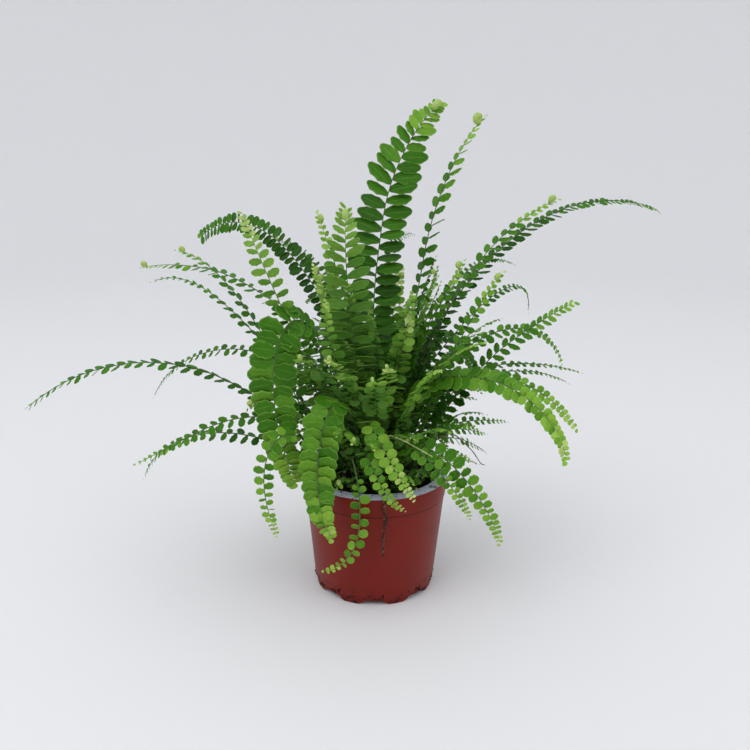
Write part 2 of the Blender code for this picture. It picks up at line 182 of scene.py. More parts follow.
def leafMaterial():
    # living fern blade: a thin waxy cuticle over green tissue, so satin with a soft see-through glow
    material, tree, shader = newMaterial("fernBlade")
    look = leafLook
    age, tone, edge, vein, under = (
        addNode(tree, "ShaderNodeAttribute", {"attribute_name": name}).outputs["Fac"]
        for name in ("age", "tone", "edge", "vein", "under"))
    place = addNode(tree, "ShaderNodeTexCoord").outputs["Object"]
    mottle = addNode(tree, "ShaderNodeTexNoise", None,
                     {"Vector": place, "Scale": 420.0, "Detail": 3.0}).outputs["Fac"]
    # age plus a leaflet's own tone plus a little mottling picks the green
    mottled = addNode(tree, "ShaderNodeMath", {"operation": "MULTIPLY_ADD"},
                      {0: mottle, 1: 0.16, 2: -0.08}).outputs[0]
    toned = addNode(tree, "ShaderNodeMath", {"operation": "ADD"}, {0: age, 1: tone}).outputs[0]
    ripe = addNode(tree, "ShaderNodeMath", {"operation": "ADD"}, {0: toned, 1: mottled}).outputs[0]
    ramp = addNode(tree, "ShaderNodeValToRGB", None, {"Fac": ripe})
    stops = ramp.color_ramp.elements
    stops[1].position = 0.45
    stops.new(0.78)
    stops.new(1.0)
    for stop, key in zip(stops, ("oldBlade", "midBlade", "freshBlade", "budBlade")):
        stop.color = toLinear(look[key])
    veinShare = addNode(tree, "ShaderNodeMapRange", {"interpolation_type": "SMOOTHSTEP"},
                        {"Value": vein, "From Min": 0.10, "From Max": 0.0,
                         "To Max": look["veinShare"]}).outputs[0]
    marginLine = addNode(tree, "ShaderNodeMapRange", {"interpolation_type": "SMOOTHSTEP"},
                         {"Value": edge, "From Min": 0.72, "To Max": look["marginShare"]}).outputs[0]
    marginShare = addNode(tree, "ShaderNodeMath", {"operation": "MULTIPLY", "use_clamp": True},
                          {0: marginLine, 1: age}).outputs[0]
    underShare = addNode(tree, "ShaderNodeMath", {"operation": "MULTIPLY"},
                         {0: under, 1: look["underShare"]}).outputs[0]
    colour = ramp.outputs["Color"]
    for share, key in ((veinShare, "margin"), (marginShare, "margin"), (underShare, "underside")):
        colour = addNode(tree, "ShaderNodeMix", {"data_type": "RGBA"},
                         {"Factor": share, 6: colour, 7: toLinear(look[key])}).outputs[2]
    grain = addNode(tree, "ShaderNodeTexNoise", None,
                    {"Vector": place, "Scale": 1600.0, "Detail": 2.0}).outputs["Fac"]
    bump = addNode(tree, "ShaderNodeBump", None,
                   {"Strength": 0.25, "Distance": 0.0003, "Height": grain}).outputs["Normal"]
    setInputs(tree, shader, {
        "Base Color": colour,
        "Normal": bump,
        "Roughness": look["roughness"],
        "IOR": 1.45,
        "Specular IOR Level": look["sheen"],
        "Subsurface Weight": 0.12,
        "Subsurface Radius": (0.4, 0.8, 0.15),
        "Subsurface Scale": 0.001,
    })
    return material


stemLook = {
    "foot": "#3A2A16",          # scaly brown base of the stipe
    "green": "#3F5F22",
    "fresh": "#ACC964",
    "roughness": 0.5,
}


def stemMaterial():
    # fern stipe and midrib: wiry, grooved, brown and scaly at the foot, pale green further out
    material, tree, shader = newMaterial("fernStipe")
    look = stemLook
    age, reach = (addNode(tree, "ShaderNodeAttribute", {"attribute_name": name}).outputs["Fac"]
                  for name in ("age", "reach"))
    place = addNode(tree, "ShaderNodeTexCoord").outputs["Object"]
    speck = addNode(tree, "ShaderNodeTexNoise", None,
                    {"Vector": place, "Scale": 900.0, "Detail": 3.0}).outputs["Fac"]
    footLine = addNode(tree, "ShaderNodeMath", {"operation": "MULTIPLY_ADD"},
                       {0: speck, 1: 0.3, 2: reach}).outputs[0]
    footShare = addNode(tree, "ShaderNodeMapRange", {"interpolation_type": "SMOOTHSTEP"},
                        {"Value": footLine, "From Min": 0.18, "From Max": 0.42}).outputs[0]
    freshShare = addNode(tree, "ShaderNodeMapRange", {"interpolation_type": "SMOOTHSTEP"},
                         {"Value": age, "From Min": 0.50}).outputs[0]
    green = addNode(tree, "ShaderNodeMix", {"data_type": "RGBA"},
                    {"Factor": freshShare, 6: toLinear(look["green"]),
                     7: toLinear(look["fresh"])}).outputs[2]
    whole = addNode(tree, "ShaderNodeMix", {"data_type": "RGBA"},
                    {"Factor": footShare, 6: toLinear(look["foot"]), 7: green}).outputs[2]
    bump = addNode(tree, "ShaderNodeBump", None,
                   {"Strength": 0.3, "Distance": 0.0002, "Height": speck}).outputs["Normal"]
    setInputs(tree, shader, {"Base Color": whole, "Normal": bump, "Roughness": look["roughness"]})
    return material


fernBlade = leafMaterial()
fernStipe = stemMaterial()
print("leaf materials made")


leafletShape = {
    "stations": (0.0, 0.07, 0.20, 0.36, 0.53, 0.70, 0.85, 0.95, 1.0),   # along the leaflet
    "lower": (0.05, 0.15, 0.33, 0.45, 0.48, 0.46, 0.36, 0.22, 0.05),    # half widths, foot side
    "upper": (0.05, 0.27, 0.45, 0.52, 0.52, 0.47, 0.36, 0.22, 0.05),    # tip side, with an ear
    "scallop": 0.032,
    "thickness": 0.028,
    "arch": 0.10,               # the tip bends down by this share of the length
    "cup": 0.06,
    "groove": 0.05,             # over the midvein
    "columns": (-1.0, -0.55, 0.0, 0.55, 1.0),   # across the leaflet
    "tipStart": 0.75,           # from here on the rim counts as edge all round
    "rimAngle": 0.9,
}


def makeLeaflet(name, mirror):
    # one unit-long leaflet, closed, lying along +X with its face up; the ear is on the +Y side,
    # or on the -Y side where mirror is -1
    shape = leafletShape
    across = shape["columns"]
    rows = len(shape["stations"])
    columns = len(across)
    tipStart = shape["tipStart"]
    top = []
    edge = []
    vein = []
    for i, u in enumerate(shape["stations"]):
        tooth = shape["scallop"] * (1 if i % 2 else -1) * (0 < i < rows - 2)
        for v in across:
            half = (shape["upper"] if v * mirror > 0 else shape["lower"])[i] + tooth
            y = v * half
            z = -shape["arch"] * u * u - shape["cup"] * (abs(v) * half * 2) ** 2
            if v == 0:
                z -= shape["groove"]
            top.append((u, y, z))
            edge.append(max(abs(v), (u - tipStart) / (1 - tipStart)))
            vein.append(abs(v))
    count = len(top)
    points = [(x, y, z + shape["thickness"] / 2) for x, y, z in top]
    points += [(x, y, z - shape["thickness"] / 2) for x, y, z in top]
    faces = []
    for i in range(rows - 1):
        for j in range(columns - 1):
            a = i * columns + j
            corner = (a, a + columns, a + columns + 1, a + 1)
            faces.append(corner)
            faces.append(tuple(count + c for c in reversed(corner)))
    rim = [i * columns for i in range(rows)]
    rim += [(rows - 1) * columns + j for j in range(1, columns)]
    rim += [i * columns + columns - 1 for i in range(rows - 2, -1, -1)]
    rim += [j for j in range(columns - 2, 0, -1)]
    for a, b in zip(rim, rim[1:] + rim[:1]):
        faces.append((b, a, count + a, count + b))
    mesh = meshFrom(name, points, faces)
    turnOutward(mesh)
    builder = bmesh.new()
    builder.from_mesh(mesh)
    # the rim has a hard edge on both faces
    rimSet = set(rim)
    for line in builder.edges:
        low, high = (vertex.index for vertex in line.verts)
        onRim = (low % count) in rimSet and (high % count) in rimSet
        sameFace = (low < count) == (high < count)
        line.smooth = not (onRim and sameFace and line.calc_face_angle(0) > shape["rimAngle"])
    builder.to_mesh(mesh)
    builder.free()
    addLayer(mesh, "edge", edge * 2)
    addLayer(mesh, "vein", vein * 2)
    addLayer(mesh, "under", [0.0] * count + [1.0] * count)
    item = addObject(name, mesh)
    item.hide_render = True
    return item


leafletLeft = makeLeaflet("leafletLeft", -1)
leafletRight = makeLeaflet("leafletRight", 1)


def frondTree():
    # every point of a guide carries across, along, size, thick, lean and level for this group, and
    # age and reach for the materials; a point with a size gets a leaflet on each side, and a tube
    # runs along the guide
    tree, given = newGroup("frondBuilder", (
        ("Leaflet Left", "Object"), ("Leaflet Right", "Object"),
        ("Length", "Float"), ("Width", "Float"), ("Stagger", "Float"), ("Sweep", "Float"),
        ("Droop", "Float"), ("Shingle", "Float"), ("Jitter", "Float"), ("Twist", "Float"),
        ("Seed", "Int"), ("Blade", "Material"), ("Stipe", "Material")))
    named = {}
    for name in ("across", "along", "size", "thick", "lean", "level"):
        kind = "FLOAT_VECTOR" if name in ("across", "along") else "FLOAT"
        named[name] = addNode(tree, "GeometryNodeInputNamedAttribute", {"data_type": kind},
                              {"Name": name}).outputs["Attribute"]
    normal = addNode(tree, "ShaderNodeVectorMath", {"operation": "CROSS_PRODUCT"},
                     {0: named["along"], 1: named["across"]}).outputs[0]
    # leaflets roll towards the light, so on an upright frond they lie more level than the blade
    lit = addNode(tree, "ShaderNodeMix", {"data_type": "VECTOR"},
                  {"Factor": named["level"], 4: normal, 5: (0, 0, 1)}).outputs[1]
    rest = addNode(tree, "ShaderNodeMath", {"operation": "MULTIPLY_ADD", "use_clamp": True},
                   {0: named["level"], 1: -1.4, 2: 1.0}).outputs[0]
    flatten = addNode(tree, "ShaderNodeCombineXYZ", None, {0: 1.0, 1: 1.0, 2: rest}).outputs[0]
    swept = addNode(tree, "ShaderNodeMath", {"operation": "MULTIPLY"},
                    {0: given["Sweep"], 1: named["lean"]}).outputs[0]
    fall = addNode(tree, "ShaderNodeMath", {"operation": "MULTIPLY"},
                   {0: given["Droop"], 1: -1.0}).outputs[0]
    grown = addNode(tree, "FunctionNodeCompare", {"operation": "GREATER_THAN"},
                    {"A": named["size"], "B": 0.01}).outputs["Result"]
    blades = addNode(tree, "GeometryNodeJoinGeometry")
    for side, key in ((1.0, "Leaflet Left"), (-1.0, "Leaflet Right")):
        seed = addNode(tree, "ShaderNodeMath", {"operation": "ADD"},
                       {0: given["Seed"], 1: 11.0 * side + 13.0}).outputs[0]
        stray = addNode(tree, "FunctionNodeRandomValue", {"data_type": "FLOAT_VECTOR"},
                        {0: (-1, -1, -1), 1: (1, 1, 1), "Seed": seed}).outputs[0]
        heading = addNode(tree, "ShaderNodeVectorMath", {"operation": "SCALE"},
                          {0: named["across"], "Scale": side}).outputs[0]
        for vector, share in ((named["along"], swept), (normal, fall), (stray, given["Jitter"])):
            part = addNode(tree, "ShaderNodeVectorMath", {"operation": "SCALE"},
                           {0: vector, "Scale": share}).outputs[0]
            heading = addNode(tree, "ShaderNodeVectorMath", {"operation": "ADD"},
                              {0: heading, 1: part}).outputs[0]
        heading = addNode(tree, "ShaderNodeVectorMath", {"operation": "MULTIPLY"},
                          {0: heading, 1: flatten}).outputs[0]
        up = lit
        for vector, share in ((named["along"], given["Shingle"]), (stray, given["Twist"])):
            part = addNode(tree, "ShaderNodeVectorMath", {"operation": "SCALE"},
                           {0: vector, "Scale": share}).outputs[0]
            up = addNode(tree, "ShaderNodeVectorMath", {"operation": "ADD"},
                         {0: up, 1: part}).outputs[0]
        turn = addNode(tree, "FunctionNodeAxesToRotation",
                       {"primary_axis": "X", "secondary_axis": "Z"}, {0: heading, 1: up}).outputs[0]
        vary = addNode(tree, "FunctionNodeRandomValue", {"data_type": "FLOAT"},
                       {2: 0.86, 3: 1.12, "Seed": seed}).outputs[1]
        ownSize = addNode(tree, "ShaderNodeMath", {"operation": "MULTIPLY"},
                          {0: named["size"], 1: vary}).outputs[0]
        length, width = (addNode(tree, "ShaderNodeMath", {"operation": "MULTIPLY"},
                                 {0: ownSize, 1: given[name]}).outputs[0]
                         for name in ("Length", "Width"))
        scale = addNode(tree, "ShaderNodeCombineXYZ", None,
                        {0: length, 1: width, 2: length}).outputs[0]
        leaflet = addNode(tree, "GeometryNodeObjectInfo", None, {"Object": given[key]})
        placed = addNode(tree, "GeometryNodeInstanceOnPoints", None,
                         {"Points": given["Geometry"], "Selection": grown,
                          "Instance": leaflet.outputs["Geometry"], "Rotation": turn,
                          "Scale": scale}).outputs[0]
        # the right row stands half a step further along, as alternate leaflets do
        shift = addNode(tree, "ShaderNodeMath", {"operation": "MULTIPLY"},
                        {0: given["Stagger"], 1: 0.5 - 0.5 * side}).outputs[0]
        shifted = addNode(tree, "ShaderNodeVectorMath", {"operation": "SCALE"},
                          {0: named["along"], "Scale": shift}).outputs[0]
        moved = addNode(tree, "GeometryNodeTranslateInstances", None,
                        {"Instances": placed, "Translation": shifted,
                         "Local Space": False}).outputs[0]
        tone = addNode(tree, "FunctionNodeRandomValue", {"data_type": "FLOAT"},
                       {2: -0.12, 3: 0.12, "Seed": seed}).outputs[1]
        toned = addNode(tree, "GeometryNodeStoreNamedAttribute",
                        {"data_type": "FLOAT", "domain": "INSTANCE"},
                        {"Geometry": moved, "Name": "tone", "Value": tone}).outputs[0]
        tree.links.new(toned, blades.inputs[0])
    realBlades = addNode(tree, "GeometryNodeRealizeInstances", None,
                         {"Geometry": blades.outputs[0]}).outputs[0]
    greenBlades = addNode(tree, "GeometryNodeSetMaterial", None,
                          {"Geometry": realBlades, "Material": given["Blade"]}).outputs[0]
    line = addNode(tree, "GeometryNodeMeshToCurve", None, {"Mesh": given["Geometry"]}).outputs[0]
    thickLine = addNode(tree, "GeometryNodeSetCurveRadius", None,
                        {"Curve": line, "Radius": named["thick"]}).outputs[0]
    ring = addNode(tree, "GeometryNodeCurvePrimitiveCircle", {"mode": "RADIUS"},
                   {"Resolution": 6, "Radius": 1.0}).outputs[0]
    tube = addNode(tree, "GeometryNodeCurveToMesh", None,
                   {"Curve": thickLine, "Profile Curve": ring, "Fill Caps": True})
    if "Scale" in tube.inputs:
        tree.links.new(named["thick"], tube.inputs["Scale"])
    stipe = addNode(tree, "GeometryNodeSetMaterial", None,
                    {"Geometry": tube.outputs[0], "Material": given["Stipe"]}).outputs[0]
    everything = addNode(tree, "GeometryNodeJoinGeometry")
    tree.links.new(stipe, everything.inputs[0])
    tree.links.new(greenBlades, everything.inputs[0])
    addNode(tree, "NodeGroupOutput", None, {0: everything.outputs[0]})
    return tree


frondBuilder = frondTree()
print("frond tree made")


potSizes = {
    "height": 68.0,
    "rimRadius": 42.5,
    "baseRadius": 35.3,
    "sheet": 0.8,
    "lipWidth": 6.0,
    "lipRise": 1.2,
    "collarDepth": 10.7,
    "collarStep": 0.4,
    "footHeight": 2.5,
    "footRingInner": 31.0,
    "footCount": 8,
    "hemHeight": 4.0,
    "padRadius": 9.0,
    "drainRadius": 3.0,
    "drainCircle": 23.0,
    "drainPinLength": 5.0,
    "padSlope": 3.0,
    "footRingSlope": 1.5,
    "footSteepness": 1.1,
    "hemInset": 0.5,
    "hemSlope": 0.3,
    "collarSlope": 0.35,
    "rimDrop": 0.1,
    "outOfRound": 0.004,        # as a share of the radius, at the rim
    "cornerPoints": 3,          # points of the arc that rounds each corner
    "rimCorner": 9,             # the rim's place among the section's corners
}

soilSizes = {
    "flatHeight": 62.4,
    "flatRadius": 20.5,
    "edgeHeight": 61.4,
    "lump": 0.6,
    "crownRadius": 19.0,
    "crownHeight": 6.0,
    "gap": 0.3,
    "footClearance": 0.7,
}


def soilHeight(x, y):
    radius = math.hypot(x, y)
    if radius < soilSizes["flatRadius"]:
        return soilSizes["flatHeight"]
    share = (radius - soilSizes["flatRadius"]) / (potSizes["rimRadius"] - soilSizes["flatRadius"])
    swell = math.sin(math.pi * min(1.0, share))
    lump = soilSizes["lump"] * noise.noise(Vector((x, y, 0)) * 0.25) * swell
    return soilSizes["flatHeight"] + (soilSizes["edgeHeight"] - soilSizes["flatHeight"]) * share + lump


def crownHeight(x, y):
    radius = math.hypot(x, y)
    if radius >= soilSizes["crownRadius"]:
        return 0.0
    dome = math.sqrt(1 - (radius / soilSizes["crownRadius"]) ** 2)
    lump = 0.5 * noise.noise(Vector((x, y, 9)) * 0.3) * dome
    return soilSizes["flatHeight"] + soilSizes["gap"] + soilSizes["crownHeight"] * dome + lump


def topHeight(x, y):
    return max(soilHeight(x, y), crownHeight(x, y))


# heading in degrees, foot's distance from the axis, three steering points as (out, left, up), turn
# of the blade in degrees; then leaflet length and width, spacing of the pairs, age from 0 old to
# 1 fresh, and the size of the curled bud at the tip, or 0
fronds = {
    "tall_centre": (35, 3, (0, 0, 135.4), (-20, 0, 230.4), (39, 0, 277.4), 55, 15.5, 7.6, 6.5, 0.17, 3.9),
    "tall_right": (24, 10, (27, 0, 133.4), (15, 0, 217.4), (62, 0, 269.4), 10, 8.5, 4.8, 7.4, 0.28, 3.6),
    "upright_left": (240, 8, (16, 0, 119.4), (36, 0, 169.4), (34, 0, 221.4), 30, 13.0, 5.3, 5.9, 0.30, -3.6),
    "bud_left": (174, 14, (4, 0, 121.4), (15, 0, 170.4), (34, 0, 217.4), -50, 6.6, 4.6, 5.8, 0.34, 2.8),
    "dark_arch": (157, 7, (-10, 0, 111.4), (60, 0, 249.4), (118, 0, 200.4), -68, 8.0, 5.2, 4.2, 0.05, 0),
    "pale_left": (215, 18, (38, 0, 121.4), (61, 0, 170.4), (81, 0, 218.4), 60, 7.5, 4.8, 6.0, 0.46, 2.0),
    "far_left_1": (172, 17, (50, 0, 95.4), (70, 0, 187.4), (116, 0, 195.4), -10, 6.6, 3.8, 6.8, 0.22, 2.2),
    "far_left_2": (158, 16, (14, 0, 152.4), (87, 0, 195.4), (160, 0, 180.4), -12, 6.6, 3.8, 6.8, 0.26, 2.5),
    "far_left_3": (190, 20, (28, 0, 93.4), (83, 0, 199.4), (121, 0, 183.4), -14, 6.4, 3.8, 6.8, 0.22, 0),
    "long_left": (197, 23, (58, 0, 130.4), (128, 0, 169.4), (187, 0, 122.4), -12, 7.4, 3.6, 6.6, 0.18, 0),
    "droop_left": (168, 21, (6, 0, 144.4), (113, 0, 160.4), (140, 0, 105.4), -30, 6.2, 4.2, 6.2, 0.2, 0),
    "low_left_1": (203, 26, (56, 0, 132.4), (88, 0, 111.4), (134, 0, 92.4), -18, 7.2, 4.2, 6.2, 0.26, 0),
    "low_left_2": (187, 26, (44, 0, 97.4), (121, 0, 111.4), (134, 0, 68.4), -18, 6.6, 4.2, 6.2, 0.24, 0),
    # broad_left's age is set higher partly as painted sheen: its paler green stands in for the silvery
    # reflection on its leaflets
    "broad_left": (222, 15, (44, 0, 234.4), (97, 0, 158.4), (58, 0, 76.4), -60, 12.8, 9.4, 5.8, 0.38, 0),
    "front_left": (248, 17, (43, 2, 183.4), (74, -19, 89.4), (55, -2, 48.4), -25, 11.0, 9.0, 5.6, 0.42, 0),
    "hang_left": (228, 24, (74, 0, 144.4), (100, 0, 102.4), (77, 0, 53.4), -50, 5.6, 5.0, 5.8, 0.5, 0),
    "hang_pot": (258, 23, (58, -18, 141.4), (47, 26, 40.4), (52, -17, 27.4), 0, 5.4, 5.2, 6.4, 0.46, 0),
    "front_pale": (278, 20, (14, -19, 148.4), (55, -3, 92.4), (53, 14, 72.4), 0, 6.4, 5.6, 5.0, 0.58, 0),
    "front_small": (269, 26, (38, -12, 127.4), (54, -1, 75.4), (50, 16, 66.4), 0, 5.4, 5.0, 5.0, 0.48, 0),
    "front_right": (307, 22, (37, -16, 136.4), (82, 17, 74.4), (79, 26, 45.4), 45, 7.2, 6.0, 6.0, 0.44, 0),
    "front_right_2": (298, 25, (34, -10, 128.4), (68, 10, 83.4), (66, 23, 61.4), 35, 5.6, 5.0, 5.2, 0.42, 0),
    "right_arch_1": (330, 20, (-19, 0, 149.4), (101, 0, 154.4), (114, 0, 98.4), 40, 8.4, 6.8, 5.4, 0.42, 0),
    "right_arch_2": (342, 17, (9, 0, 140.4), (80, 0, 152.4), (113, 0, 109.4), 36, 6.8, 5.6, 6.0, 0.4, 0),
    "right_up_1": (347, 22, (33, 0, 113.4), (67, 0, 150.4), (106, 0, 174.4), 45, 8.4, 4.2, 5.8, 0.26, 0),
    "right_arch_3": (353, 16, (-9, 0, 104.4), (82, 0, 197.4), (104, 0, 139.4), 34, 6.8, 4.4, 5.6, 0.28, 0),
    "right_thin_1": (4, 21, (25, 0, 134.4), (73, 0, 142.4), (120, 0, 128.4), 20, 4.8, 3.4, 5.6, 0.22, 0),
    "right_thin_2": (11, 23, (22, 0, 123.4), (80, 0, 139.4), (118, 0, 118.4), 20, 4.8, 3.4, 5.6, 0.22, 0),
    "far_right": (16, 13, (12, 0, 149.4), (82, 0, 248.4), (173, 0, 221.4), 26, 7.2, 3.9, 4.9, 0.12, 0),
    "right_bud_1": (7, 10, (24, 0, 124.4), (41, 0, 200.4), (99, 0, 226.4), 30, 6.6, 4.0, 6.4, 0.26, 2.8),
    "right_bud_2": (352, 8, (-1, 0, 119.4), (30, 0, 155.4), (47, 0, 194.4), 45, 5.6, 3.9, 5.6, 0.30, 2.5),
    "right_bud_3": (334, 10, (32, 0, 106.4), (45, 0, 154.4), (71, 0, 190.4), 80, 5.6, 3.9, 6.2, 0.30, 2.6),
    "back_right_1": (31, 13, (-21, 0, 91.4), (114, 0, 217.4), (112, 0, 155.4), 40, 6.0, 3.8, 5.6, 0.12, 0),
    "back_right_2": (42, 9, (18, 0, 109.4), (50, 0, 207.4), (118, 0, 183.4), 40, 5.6, 3.6, 5.6, 0.14, 0),
    "back_centre": (60, 5, (34, 0, 101.4), (-26, 0, 211.4), (40, 0, 205.4), 60, 6.0, 3.8, 5.6, 0.1, 0),
    "low_right_1": (18, 27, (24, 0, 101.4), (65, 0, 95.4), (84, 0, 92.4), 35, 5.2, 3.6, 5.4, 0.3, 0),
    "low_right_2": (27, 26, (31, 0, 97.4), (59, 0, 87.4), (77, 0, 81.4), 35, 5.2, 3.6, 5.4, 0.32, 0),
    "low_right_3": (40, 27, (44, 0, 91.4), (76, 0, 73.4), (96, 0, 59.4), 35, 5.2, 3.6, 5.4, 0.26, 0),
    "thin_back_left": (125, 10, (-4, 0, 145.4), (58, 0, 190.4), (118, 0, 195.4), -40,
                       5.2, 3.6, 5.4, 0.08, 1.7),
    "front_mid": (208, 23, (6, 0, 124.4), (50, 0, 138.4), (76, 0, 119.4), 60, 7.0, 5.2, 5.8, 0.32, 2.0),
    "bud_front": (245, 12, (8, 0, 120.4), (60, 0, 132.4), (60, 0, 177.4), 20, 6.2, 4.8, 5.6, 0.32, 2.4),
}

# share of a frond's length that carries no leaflets
bareShares = {
    "usual": 0.16,
    "inner": 0.10,
    "broad_left": 0.44,
    "front_left": 0.34,
    "hang_left": 0.40,
    "hang_pot": 0.40,
    "front_pale": 0.36,
}

# how the leaflets' size runs from the first pair to the tip, as shares of the leafy part
leafletRun = {
    "firstSize": 0.45,
    "rise": 2.6,
    "fallFrom": 0.38,
    "fallPower": 1.7,
    "buddedFirstSize": 0.66,
    "buddedFull": 0.72,
    "buddedFallFrom": 0.74,
    "buddedFall": 0.68,
    "buddedFallPower": 1.2,
}

# what all fronds share
frondHabit = {
    "samples": 240,
    "wander": 2.2,              # no frond grows in a perfect curve
    "wanderScale": 0.028,
    "sink": 1.2,                # how far the foot goes into the crown or the mix
    "stemRadius": 0.45,
    "stemTaper": 0.27,
    "tipAge": 0.42,             # the tip is younger than the foot
    "budAge": 0.1,
}

# size of the last leaflets as a share of the largest
tipSizes = {
    "usual": 0.24,
    "dark_arch": 0.62,
    "far_right": 0.50,
    "long_left": 0.46,
    "broad_left": 0.44,
    "right_arch_1": 0.34,
    "right_arch_2": 0.36,
    "right_up_1": 0.40,
}

# how far the leaflets lean towards the tip, before the extra lean near the tip
sweeps = {
    "usual": 0.20,
    "tall_right": 0.95,
    "tall_centre": 0.24,
    "far_right": 1.2,
    "right_bud_1": 0.6,
    "right_bud_2": 0.5,
    "right_bud_3": 0.5,
    "right_up_1": 0.6,
    "right_arch_1": 0.36,
    "right_arch_2": 0.36,
    "right_arch_3": 0.5,
    "right_thin_1": 0.9,
    "right_thin_2": 0.9,
    "low_right_1": 0.8,
    "low_right_2": 0.8,
    "low_right_3": 0.6,
    "back_right_1": 0.8,
    "back_right_2": 0.8,
    "front_right": 0.32,
    "hang_pot": 0.34,
    "hang_left": 0.34,
    "long_left": 1.1,
    "droop_left": 0.45,
    "far_left_1": 0.6,
    "far_left_2": 0.6,
    "far_left_3": 0.6,
    "low_left_1": 0.5,
    "low_left_2": 0.5,
    "upright_left": 0.32,
    "front_left": 0.42,
    "broad_left": 0.30,
}

backFronds = {
    "count": 14,
    "firstHeading": 57,
    "lastHeading": 128,
    "spacing": 4.9,
    "seed": 7,
    # foot, three steering points, leaflet length
    "habits": (
        (20, (26, 0, 155.4), (95, 0, 170.4), (132, 0, 89.4), 9.0),
        (27, (50, 0, 117.4), (88, 0, 103.4), (98, 0, 51.4), 7.5),
        (13, (22, 0, 133.4), (52, 0, 181.4), (98, 0, 155.4), 8.0),
    ),
}

# short fronds that fill the heart of the plant, in four rings that get lower outwards
innerFronds = {
    "count": 88,
    "groups": 8,
    "spacing": 4.8,
    "seed": 21,
    "rings": (
        (6, (6, 0, 97.4), (16, 0, 133.4), (30, 0, 170.4), 7.0),
        (12, (16, 0, 101.4), (36, 0, 139.4), (62, 0, 145.4), 6.6),
        (20, (26, 0, 93.4), (42, 0, 109.4), (56, 0, 105.4), 5.8),
        (27, (31, 0, 77.4), (40, 0, 83.4), (50, 0, 77.4), 5.0),
    ),
}


def bezier(points, share):
    rest = 1 - share
    weights = (rest**3, 3 * rest**2 * share, 3 * rest * share**2, share**3)
    return sum((w * p for w, p in zip(weights, points)), Vector())


def leafletProfile(share, budded, tipSize):
    # a young frond is broadest near its bud
    run = leafletRun
    if budded:
        first = run["buddedFirstSize"]
        size = first + (1 - first) * math.sin(math.pi / 2 * min(1.0, share / run["buddedFull"]))
        fall, power, fallFrom = run["buddedFall"], run["buddedFallPower"], run["buddedFallFrom"]
    else:
        size = min(1.0, run["firstSize"] + share * run["rise"])
        fall, power, fallFrom = 1 - tipSize, run["fallPower"], run["fallFrom"]
    return size * (1 - fall * max(0.0, (share - fallFrom) / (1 - fallFrom)) ** power)


def frondGuide(heading, foot, bends, turn, level, spacing, tone, bud, bare, tipSize, sweep):
    # polyline with the attributes that frondBuilder reads
    habit = frondHabit
    angle = math.radians(heading)
    out = Vector((math.cos(angle), math.sin(angle), 0))
    side = Vector((-math.sin(angle), math.cos(angle), 0))
    x, y = foot * out.x, foot * out.y
    base = Vector((x, y, topHeight(x, y) + soilSizes["footClearance"] - habit["sink"]))
    steer = [base] + [out * o + side * l + Vector((0, 0, u)) for o, l, u in bends]
    count = habit["samples"]
    samples = []
    for index in range(count + 1):
        share = index / count
        place = bezier(steer, share)
        wander = noise.noise_vector(place * habit["wanderScale"] + Vector((heading, foot, 0)))
        swing = math.sin(math.pi * min(1.0, share * 1.15)) * share
        samples.append(place + wander * habit["wander"] * swing)
    travelled = [0.0]
    for a, b in zip(samples, samples[1:]):
        travelled.append(travelled[-1] + (b - a).length)
    total = travelled[-1]
    turned = math.radians(turn)
    keys = ("point", "along", "across", "size", "age", "reach", "thick", "lean", "level")
    guide = {key: [] for key in keys}

    def addPoint(place, along, across, size, age, reach, thick, lean, rolled):
        row = (place * mm, along, across, size, age, reach, thick * mm, lean, rolled)
        for key, value in zip(keys, row):
            guide[key].append(value)

    distance = 0.0
    index = 0
    while distance < total:
        while travelled[index + 1] < distance:
            index += 1
        step = (distance - travelled[index]) / (travelled[index + 1] - travelled[index])
        place = samples[index].lerp(samples[index + 1], step)
        along = (samples[min(count, index + 3)] - samples[max(0, index - 2)]).normalized()
        flat = (side - side.dot(along) * along).normalized()
        across = flat * math.cos(turned) + along.cross(flat) * math.sin(turned)
        share = distance / total
        leafShare = max(0.0, (share - bare) / (1 - bare))
        size = leafletProfile(leafShare, bud, tipSize) if leafShare > 0 else 0.0
        age = tone + habit["tipAge"] * leafShare ** 3
        age += habit["budAge"] if bud and leafShare > 0.85 else 0
        thick = habit["stemRadius"] - habit["stemTaper"] * share
        lean = sweep + (1.0 if bud else 0.5) * leafShare ** 2
        rolled = level * max(0.0, along.z) ** 1.5 * (1 - leafShare ** 3)
        addPoint(place, along, across, size, age, share, thick, lean, rolled)
        distance += spacing * (max(0.5, size) if leafShare > 0 else 1.0)
    if bud:
        curlUp(guide, addPoint, bud)
    return guide


def curlUp(guide, addPoint, bud):
    # the tip still rolled up: a thick spiral that makes a knob; a negative bud rolls to the underside
    place = guide["point"][-1] / mm
    along = guide["along"][-1].copy()
    across = guide["across"][-1].copy()
    steps = 20
    knob = abs(bud)
    bend = math.radians(math.copysign(32, bud))
    for index in range(1, steps + 1):
        share = index / steps
        normal = along.cross(across)
        along = (along * math.cos(bend) + normal * math.sin(bend)).normalized()
        place = place + along * (knob * (0.62 - 0.50 * share) * abs(bend))
        thick = knob * min(0.56, 0.10 + 2.6 * share) * (1 - 0.4 * share)
        addPoint(place, along, across, 0.0, 0.84 + 0.12 * share, 1.0, thick, 1.6, 0.0)


def guideObject(name, guides):
    points = []
    edges = []
    for guide in guides:
        start = len(points)
        points += guide["point"]
        edges += [(start + i, start + i + 1) for i in range(len(guide["point"]) - 1)]
    mesh = bpy.data.meshes.new(name)
    mesh.from_pydata([tuple(p) for p in points], edges, [])
    for key in ("across", "along"):
        addLayer(mesh, key, [c for guide in guides for v in guide[key] for c in v], "FLOAT_VECTOR")
    for key in ("size", "age", "reach", "thick", "lean", "level"):
        addLayer(mesh, key, [value for guide in guides for value in guide[key]])
    return addObject(name + "_guide", mesh)


